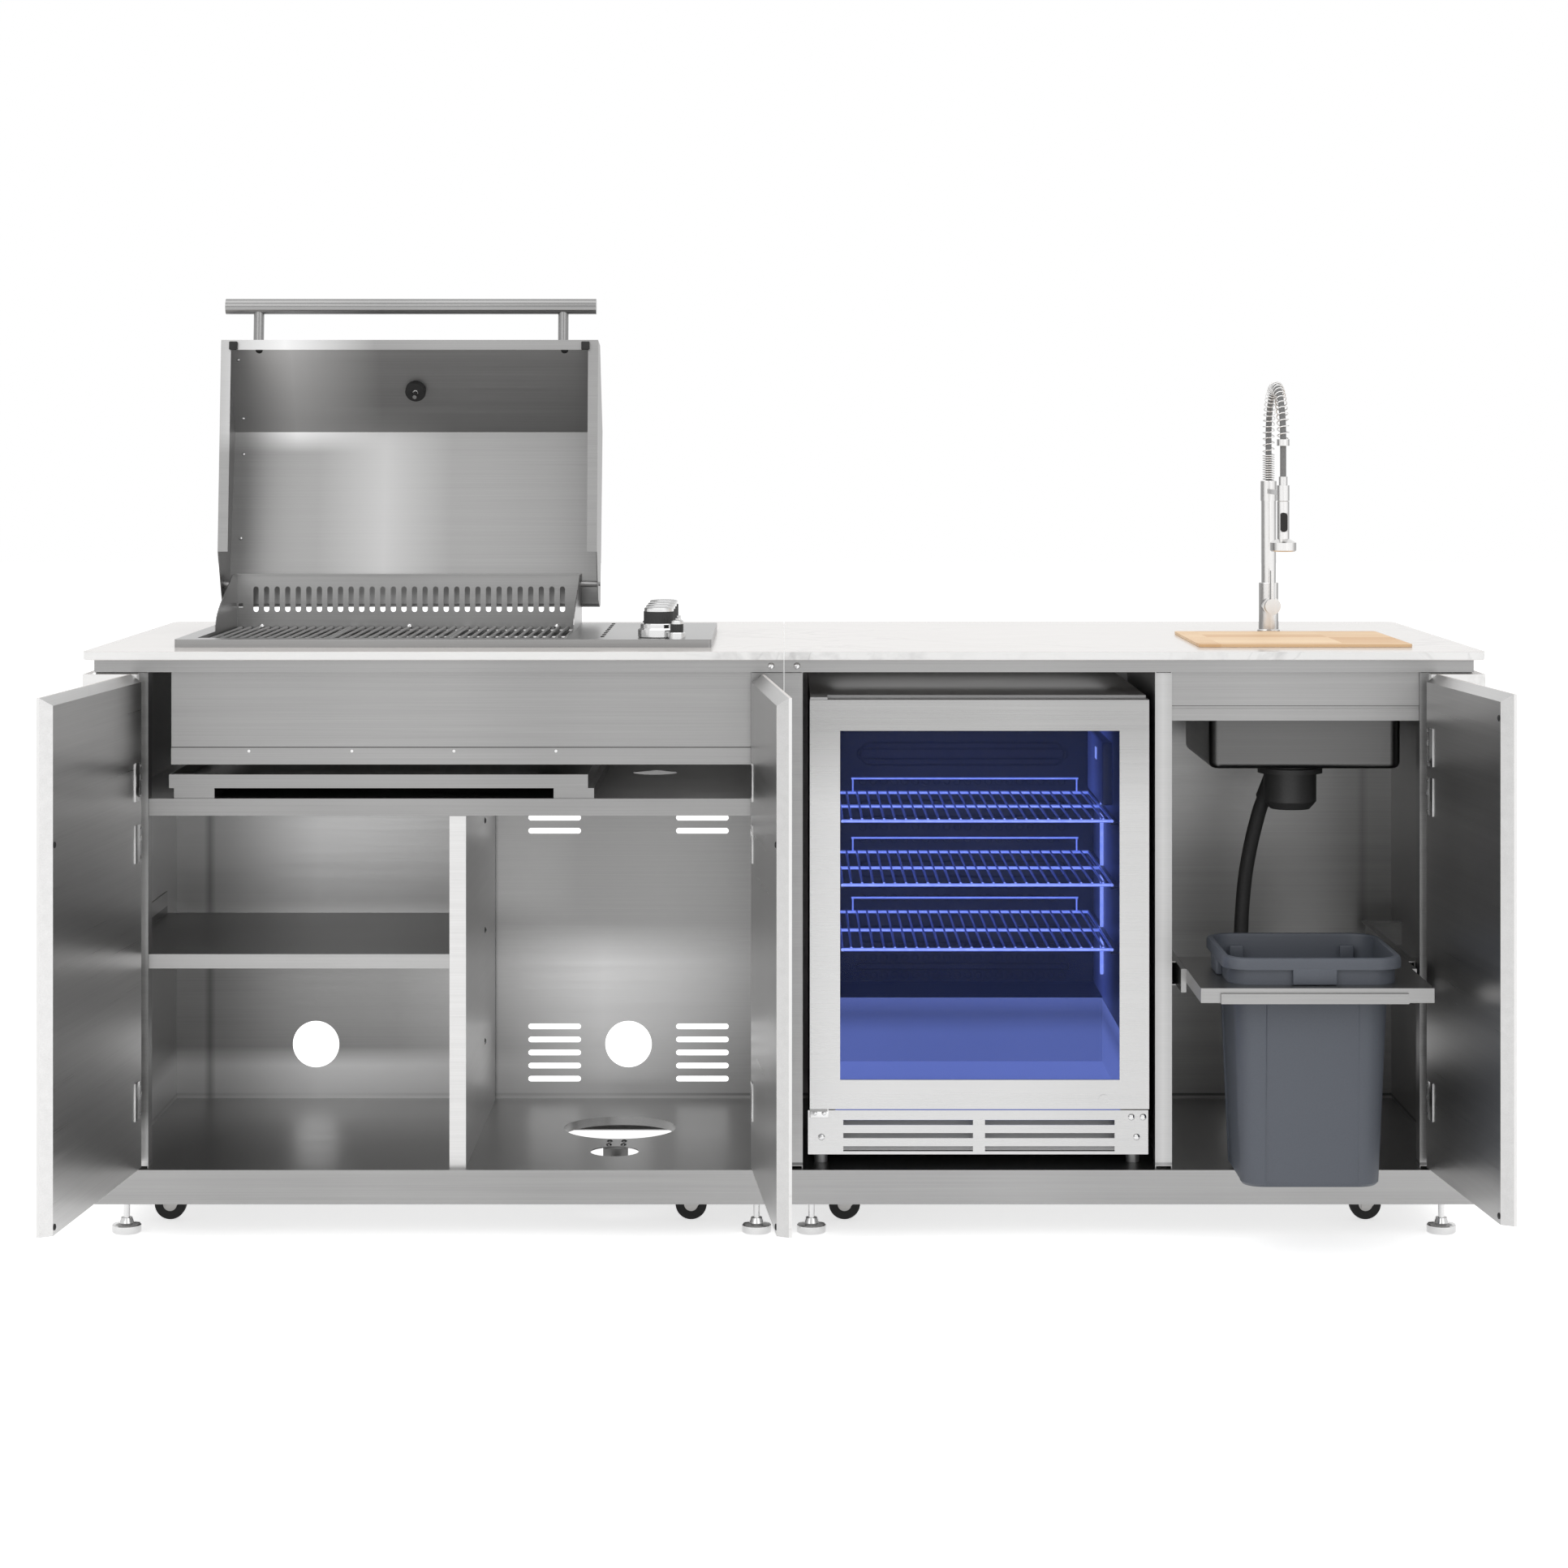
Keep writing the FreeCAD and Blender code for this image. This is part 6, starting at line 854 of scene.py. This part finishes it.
# Painted shade: faces that look left or right are painted nearly black down the sides of the round parts.
nickel_side_shade = nickel.ramp(nickel.facing()[0], [(0.55, BLACK), (0.85, WHITE)])
nickel_face = nickel.blend(nickel_grain, grey(0.66, 0.01), grey(0.84, 0.01))
nickel.set({
    "Base Color": nickel.blend(nickel_side_shade * 0.75, nickel_face, grey(0.10, 0.01)),
    "Roughness": nickel_grain * 0.12 + 0.16,
})
dress(nickel, "faucet_base", "faucet_neck", "faucet_spring", "faucet_lever", "spray_head")
hose_rubber = Finish("hose_rubber", Metallic=0.0)
hose_grain = hose_rubber.noise(300.0, 3.0)
hose_rubber.set({
    "Base Color": hose_rubber.blend(hose_grain, grey(0.16), grey(0.24)),
    "Roughness": hose_grain * 0.2 + 0.4,
})
dress(hose_rubber, "spray_hose")
dress(tyre_rubber, "spray_button")


# Refrigerator
# A built-in refrigerator with a steel-framed glass door over a slotted kick plate. Its dark liner
# has a raised pattern, three wire shelves and a lamp case, and is lit blue by a strip of lamps; that
# light on the liner is painted in as glow.

LINER_NAVY = (0.007, 0.009, 0.025, 1)
# Painted light: glow for the liner's walls, for its floor and for the wall beside the lamp strip, standing
# for the lamps' blue light.
WALL_PAINTED_LIGHT = ((0.0010, 0.0018, 0.009, 1), (0.0020, 0.0035, 0.016, 1))
FLOOR_PAINTED_LIGHT = ((0.115, 0.165, 0.52, 1), (0.135, 0.190, 0.60, 1))
STRIP_PAINTED_LIGHT = (0.045, 0.070, 0.32, 1)
# Painted shade and painted light: the raised pattern's darker colour and its fainter glow.
EMBOSS_SHADE_TONE = ((0.002, 0.003, 0.008, 1), (0.004, 0.005, 0.014, 1))
EMBOSS_PAINTED_LIGHT = ((0.0002, 0.0004, 0.002, 1), (0.0006, 0.001, 0.005, 1))
# Painted light: the wires' glow, brighter on wires that run across than on those that run front to back.
WIRE_TONE = ((0.25, 0.32, 0.75, 1), (0.45, 0.52, 0.95, 1))
WIRE_PAINTED_LIGHT = ((0.10, 0.16, 0.75, 1), (0.20, 0.30, 1.0, 1))
RAIL_PAINTED_LIGHT = (0.018, 0.030, 0.15, 1)
GLASS_TINT = ((0.03, 0.045, 0.14, 1), (0.05, 0.07, 0.20, 1))
LAMP_TONE = ((0.2, 0.3, 0.9, 1), (0.3, 0.4, 1.0, 1))
LAMP_GLOW = ((0.15, 0.25, 1.0, 1), (0.40, 0.50, 1.0, 1))
# Painted highlight: the door frame's two stiles painted brighter than its top rail.
FRIDGE_PAINTED_LIGHT = ((0.06, 0.8, 0.45, 0.44, 0.30), (0.62, 0.8, 0.45, 0.44, 0.17))
fridge_front = sheet_steel("fridge_front", 0.36, 0.28, painted_zones=FRIDGE_PAINTED_LIGHT)
dress(fridge_front, "fridge_door", "fridge_grille")
fridge_low, fridge_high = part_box("fridge_cabinet")
FRIDGE_WALL = 0.0445
FLOOR_THICK = 0.080
ROOF_THICK = 0.040
BACK_THICK = 0.015
STEP_Z = 0.3605
STEP_SHADE_Z = 0.328
SHADE_FADE = 30
SHADE_SHARE = 0.35
STRIP_Y = 0.172
STRIP_REACH = 0.22
STRIP_SHARE = 0.8
liner = Finish("liner", Metallic=0.0, Emission_Strength=1.0, Specular_IOR_Level=0.3)
across = abs(liner.along(0) - (fridge_low.x + fridge_high.x) / 2)
height = liner.along(2)
inside = (across < (fridge_high.x - fridge_low.x) / 2 - FRIDGE_WALL)
inside = inside * (height > fridge_low.z + FLOOR_THICK) * (height < fridge_high.z - ROOF_THICK)
inside = inside * (liner.along(1) < fridge_high.y - BACK_THICK)
upward = liner.split(liner.node("ShaderNodeTexCoord", output=1), 2)
# Painted light: the floor below the step glows, more where it faces up, less along a painted shadow line
# under the step.
low_part = height < STEP_Z - 0.002
shade_line = liner.fall(abs(height - STEP_SHADE_Z), SHADE_FADE)
floor_light_share = low_part * (0.82 + upward * 0.18 - shade_line * SHADE_SHARE)
liner_cloud = liner.noise(6.0, 3.0)
wall_light = liner.blend(liner_cloud, *WALL_PAINTED_LIGHT)
floor_light = liner.blend(liner_cloud, *FLOOR_PAINTED_LIGHT)
glow = liner.blend(floor_light_share, wall_light, floor_light)
# Painted light: the right wall glows brighter near the lamp strip, above the step.
strip_fade = liner.ramp(abs(liner.along(1) - STRIP_Y), [(0.0, WHITE), (STRIP_REACH, BLACK)])
by_strip = strip_fade * liner.facing()[0] * (liner.along(0) > fridge_high.x - 0.10) * (height > STEP_Z)
glow = liner.blend(by_strip * STRIP_SHARE, glow, STRIP_PAINTED_LIGHT)
liner.set({
    "Base Color": liner.blend(inside, liner.blend(liner_cloud, grey(0.34), grey(0.42)), LINER_NAVY),
    "Metallic": (1.0 - inside) * 0.6,
    "Emission Color": liner.blend(inside, BLACK, glow),
    "Roughness": liner_cloud * 0.1 + 0.35,
})
dress(liner, "fridge_cabinet")
# Painted shade: the raised pattern is painted darker than the liner, as dark outlines, with a fainter painted
# glow.
emboss = Finish("emboss", Metallic=0.0, Emission_Strength=1.0, Specular_IOR_Level=0.2)
emboss_cloud = emboss.noise(6.0, 3.0)
emboss.set({
    "Base Color": emboss.blend(emboss_cloud, *EMBOSS_SHADE_TONE),
    "Emission Color": emboss.blend(emboss_cloud, *EMBOSS_PAINTED_LIGHT),
    "Roughness": emboss_cloud * 0.1 + 0.4,
})
# Painted light: the wires glow, those running across brighter than those running front to back.
shelf_wire = Finish("shelf_wire", Metallic=1.0, Emission_Strength=1.0)
wire_shine = shelf_wire.noise(80.0, 3.0)
wire_rail = shelf_wire.ramp(shelf_wire.facing()[1], [(0.05, BLACK), (0.5, WHITE)])
wire_light = shelf_wire.blend(wire_shine, *WIRE_PAINTED_LIGHT)
shelf_wire.set({
    "Base Color": shelf_wire.blend(wire_shine, *WIRE_TONE),
    "Emission Color": shelf_wire.blend(wire_rail, RAIL_PAINTED_LIGHT, wire_light),
    "Roughness": wire_shine * 0.1 + 0.15,
})
dress(shelf_wire, "fridge_shelves")
door_glass = Finish("door_glass", Metallic=0.0, Specular_IOR_Level=0.12)
glass_film = door_glass.noise(3.0, 3.0)
door_glass.set({
    "Base Color": door_glass.blend(glass_film, *GLASS_TINT),
    "Roughness": glass_film * 0.03 + 0.02,
    "Alpha": glass_film * 0.04 + 0.06,
})
dress(door_glass, "fridge_glass")

WALL_THICK = 0.045
LINER_BACK = 0.572
LOOP_WIRE = 0.0022
LOOP_SHORT = 0.09
LOOP_ROWS = ((0.795, 0.043), (0.795, 0.020), (0.690, 0.030), (0.575, 0.030), (0.450, 0.030), (0.388, 0.012))
DOT_ROWS = (0.742, 0.655, 0.632, 0.543, 0.520, 0.425, 0.405, 0.371)
DOTS_IN_ROW = 20
DOT_PITCH = 0.020
DOT_R = 0.0062
LAMP_Y = 0.363
LAMP_Z = (0.406, 0.727)
LAMP_BOX_Y = (0.18, 0.48)
LAMP_BOX_Z = (0.738, 0.852)
LAMP_STRIP = (0.006, 0.010, LAMP_Z[1] - LAMP_Z[0])
LAMP_BOX = (0.020, LAMP_BOX_Y[1] - LAMP_BOX_Y[0], LAMP_BOX_Z[1] - LAMP_BOX_Z[0])
CASE_LIGHT = (0.003, 0.030, 0.022)
CASE_LIGHT_SPOT = (0.30, 0.822)
BRACKET = (0.033, 0.0022, 0.017)
BRACKET_SPOT = (0.0617, 0.2195)
BRACKET_SCREWS = (0.0540, 0.0700)


def stadium(shape, centre, length, tall, wire, steps=24):
    """A flattened ring of round wire: a small ring spun full circle, its halves drawn apart."""
    turned = bmesh.new()
    rim = bmesh.ops.create_circle(turned, segments=8, radius=wire)["verts"]
    bmesh.ops.translate(turned, vec=(tall / 2, 0, 0), verts=rim)
    wire_loop = turned.verts[:] + turned.edges[:]
    bmesh.ops.spin(turned, geom=wire_loop, cent=(0, 0, 0), axis=(0, 1, 0), dvec=(0, 0, 0),
                   angle=math.tau, steps=steps, use_merge=True, use_duplicate=False)
    for vert in turned.verts:
        vert.co.x += math.copysign((length - tall) / 2, vert.co.x) if abs(vert.co.x) > 1e-6 else 0
    bmesh.ops.translate(turned, vec=centre, verts=turned.verts)
    merge(turned, shape)


def liner_fittings():
    """The raised pattern of the back wall, and the lamp case and lamp strip of the right one."""
    left = fridge_low.x + WALL_THICK
    right = fridge_high.x - WALL_THICK
    back = cabinet_front + LINER_BACK
    centre = (left + right) / 2
    embossing = bmesh.new()
    for z, tall in LOOP_ROWS:
        stadium(embossing, (centre, back, z), right - left - LOOP_SHORT - tall * 0.5, tall, LOOP_WIRE)
    for z in DOT_ROWS:
        for i in range(DOTS_IN_ROW):
            spot = (centre + (i - (DOTS_IN_ROW - 1) / 2) * DOT_PITCH, back, z)
            stadium(embossing, spot, 2 * DOT_R, 2 * DOT_R, LOOP_WIRE * 0.7, 12)
    piece("liner_embossing", embossing, emboss, "island")
    lamp_case = bmesh.new()
    seat = Vector((right - 0.009, cabinet_front + sum(LAMP_BOX_Y) / 2, sum(LAMP_BOX_Z) / 2))
    bar(lamp_case, seat, LAMP_BOX, 0.004)
    piece("lamp_case", lamp_case, liner, "island")
    strip = bmesh.new()
    bar(strip, Vector((right - 0.003, cabinet_front + LAMP_Y, sum(LAMP_Z) / 2)), LAMP_STRIP, 0.002)
    seat = Vector((right - 0.0185, cabinet_front + CASE_LIGHT_SPOT[0], CASE_LIGHT_SPOT[1]))
    bar(strip, seat, CASE_LIGHT, 0.001)
    piece("lamp_strip", strip, lamp_glow, "island")


lamp_glow = Finish("lamp_glow", Emission_Strength=1.0, Roughness=0.4)
lamp_dots = lamp_glow.noise(120.0, 1.0)
lamp_glow.set({
    "Base Color": lamp_glow.blend(lamp_dots, *LAMP_TONE),
    "Emission Color": lamp_glow.blend(lamp_dots, *LAMP_GLOW),
})
liner_fittings()


def fridge_brackets():
    """The lower pressed hinge bracket of the glass door, on top of the kick plate, with two screws."""
    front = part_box("fridge_grille")[0].y
    x, z = BRACKET_SPOT
    plates = bmesh.new()
    bar(plates, Vector((x, front - 0.0012, z)), BRACKET, 0.0010)
    for x in BRACKET_SCREWS:
        screw_head(plates, Vector((x, front - 0.0023, z)), (0, -1, 0), 0.0042, 0.0016)
    piece("fridge_brackets", plates, cap_steel, "island")


fridge_brackets()


# Pull-out bin
# A blue-grey plastic bin hangs by its rim in a steel pull-out frame.

BIN_TONE = (0.088, 0.098, 0.120, 1)
BIN_LIGHT = (0.112, 0.124, 0.148, 1)

dress(cabinet_steel, "bin_carrier")
bin_plastic = Finish("bin_plastic", Metallic=0.0)
bin_grain = bin_plastic.noise(500.0, 3.0)
bin_plastic.set({
    "Base Color": bin_plastic.blend(bin_grain, BIN_TONE, BIN_LIGHT),
    "Roughness": bin_grain * 0.15 + 0.42,
    "Normal": bin_plastic.bump(bin_grain, 0.00008),
})

BIN_WALL = 0.0025
BIN_FOOT = 0.118
BIN_FOOT_ROUND = 0.004
BIN_TOP = 0.132
BIN_NECK = 0.143
BIN_RIM = 0.1525
BIN_RIM_TALL = 0.020
BIN_CORNER = 0.034
PANEL_HALF = 0.080
PANEL_SINK = 0.0028
TAB_HALF = 0.0375
POST_SPREAD = 0.0975
POST_HALF = 0.0125


def square_lathe(profile, corner):
    """A rounded square drawn up through (half width, height) steps, closed at both ends."""
    shape = bmesh.new()
    base = bmesh.ops.create_grid(shape, x_segments=1, y_segments=1, size=profile[0][0])["verts"]
    bmesh.ops.bevel(shape, geom=base, offset=corner, offset_type="OFFSET", segments=8, profile=0.5,
                    affect="VERTICES", material=-1)
    bmesh.ops.translate(shape, vec=(0, 0, profile[0][1]), verts=shape.verts)
    ring = shape.edges[:]
    width = profile[0][0]
    for half, height in profile[1:]:
        grown = bmesh.ops.extrude_edge_only(shape, edges=ring)["geom"]
        verts = [part for part in grown if isinstance(part, bmesh.types.BMVert)]
        ring = [part for part in grown if isinstance(part, bmesh.types.BMEdge)]
        level = verts[0].co.z
        bmesh.ops.scale(shape, vec=(half / width, half / width, 1), verts=verts)
        bmesh.ops.translate(shape, vec=(0, 0, height - level), verts=verts)
        width = half
    bmesh.ops.edgeloop_fill(shape, edges=ring)
    return shape


def sunk_panels(shape, foot, top):
    """The middle of each wall of the pail sinks in a little behind two upright creases."""
    for axis in range(2):
        for edge in (PANEL_HALF, PANEL_HALF - PANEL_SINK):
            for side in (-1, 1):
                normal = [0, 0, 0]
                normal[axis] = 1
                spot = [0, 0, 0]
                spot[axis] = side * edge
                bmesh.ops.bisect_plane(shape, geom=shape.verts[:] + shape.edges[:] + shape.faces[:],
                                       plane_co=spot, plane_no=normal)
    for vert in shape.verts:
        share = min(max((vert.co.z - foot) / (top - foot), 0), 1)
        wall = BIN_FOOT + (BIN_TOP - BIN_FOOT) * share - BIN_WALL / 2
        for axis in range(2):
            inside = abs(vert.co[1 - axis]) < PANEL_HALF - PANEL_SINK / 2
            if inside and vert.co.z < top - 0.0005 and abs(vert.co[axis]) > wall:
                vert.co[axis] -= math.copysign(PANEL_SINK, vert.co[axis])


def bin_piece():
    """The pail with its rim, and apart from it the tabs under the rim and the two inner posts."""
    low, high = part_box("waste_bin")
    centre = middle("waste_bin")
    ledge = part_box("bin_carrier")[1].z
    rim_low = high.z - BIN_RIM_TALL
    shape = square_lathe([
        (BIN_FOOT - BIN_FOOT_ROUND, low.z), (BIN_FOOT, low.z + 0.005),
        (BIN_TOP, ledge - 0.001), (BIN_TOP, ledge),
        (BIN_NECK, ledge), (BIN_NECK, rim_low), (BIN_RIM - BIN_WALL, rim_low), (BIN_RIM, rim_low),
        (BIN_RIM, high.z - 0.006), (BIN_RIM - 0.002, high.z - 0.0015), (BIN_RIM - 0.006, high.z),
        (BIN_NECK - 0.001, high.z - 0.001), (BIN_NECK - BIN_WALL, high.z - 0.006),
        (BIN_NECK - BIN_WALL, ledge + BIN_WALL), (BIN_TOP - BIN_WALL, ledge + BIN_WALL),
        (BIN_TOP - BIN_WALL, ledge - 0.004), (BIN_FOOT - BIN_WALL, low.z + 0.006),
        (BIN_FOOT - BIN_WALL - BIN_FOOT_ROUND, low.z + BIN_WALL)], BIN_CORNER)
    sunk_panels(shape, low.z, ledge)
    bmesh.ops.translate(shape, vec=(centre.x, centre.y, 0), verts=shape.verts)
    made = piece("bin_pail", shape, bin_plastic, "bin")
    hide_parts("waste_bin")
    tabs = bmesh.new()
    for turn in range(4):
        spin = Matrix.Rotation(turn * math.pi / 2, 3, "Z")
        out = spin @ Vector((0, -(BIN_RIM + BIN_NECK) / 2, 0))
        seat = Vector((centre.x + out.x, centre.y + out.y, (ledge + rim_low) / 2 + 0.0015))
        bar(tabs, seat, (TAB_HALF * 2, BIN_RIM - BIN_NECK + 0.001, rim_low - ledge + 0.001), 0.002, spin)
    for side in (-1, 1):
        seat = Vector((centre.x + side * POST_SPREAD, centre.y + BIN_TOP - BIN_WALL - 0.003, ledge + 0.014))
        bar(tabs, seat, (POST_HALF * 2, 0.008, 0.026), 0.002)
    piece("bin_tabs", tabs, bin_plastic, "bin")


bin_piece()


# Floor
# White paper under the island.

def paper_floor():
    sweep = bmesh.new()
    bmesh.ops.create_grid(sweep, x_segments=1, y_segments=1, size=PAPER_SIZE / 2)
    mesh = bpy.data.meshes.new("paper")
    sweep.to_mesh(mesh)
    sweep.free()
    paper = bpy.data.objects.new("paper", mesh)
    bpy.context.collection.objects.link(paper)
    matt = Finish("paper", Roughness=0.9, Specular_IOR_Level=0.0, Emission_Strength=1.0)
    pulp = matt.noise(3.0, 3.0)
    path = [matt.node("ShaderNodeLightPath", output=i) for i in (0, 3, 6)]
    shown = path[0].join("MAXIMUM", path[1]).join("MAXIMUM", path[2])
    matt.set({
        "Base Color": matt.blend(pulp, PAPER_COLOUR, grey(0.95)),
        "Emission Color": matt.blend(shown, BLACK, grey(PAPER_LIFT)),
    })
    mesh.materials.append(matt.material)


paper_floor()
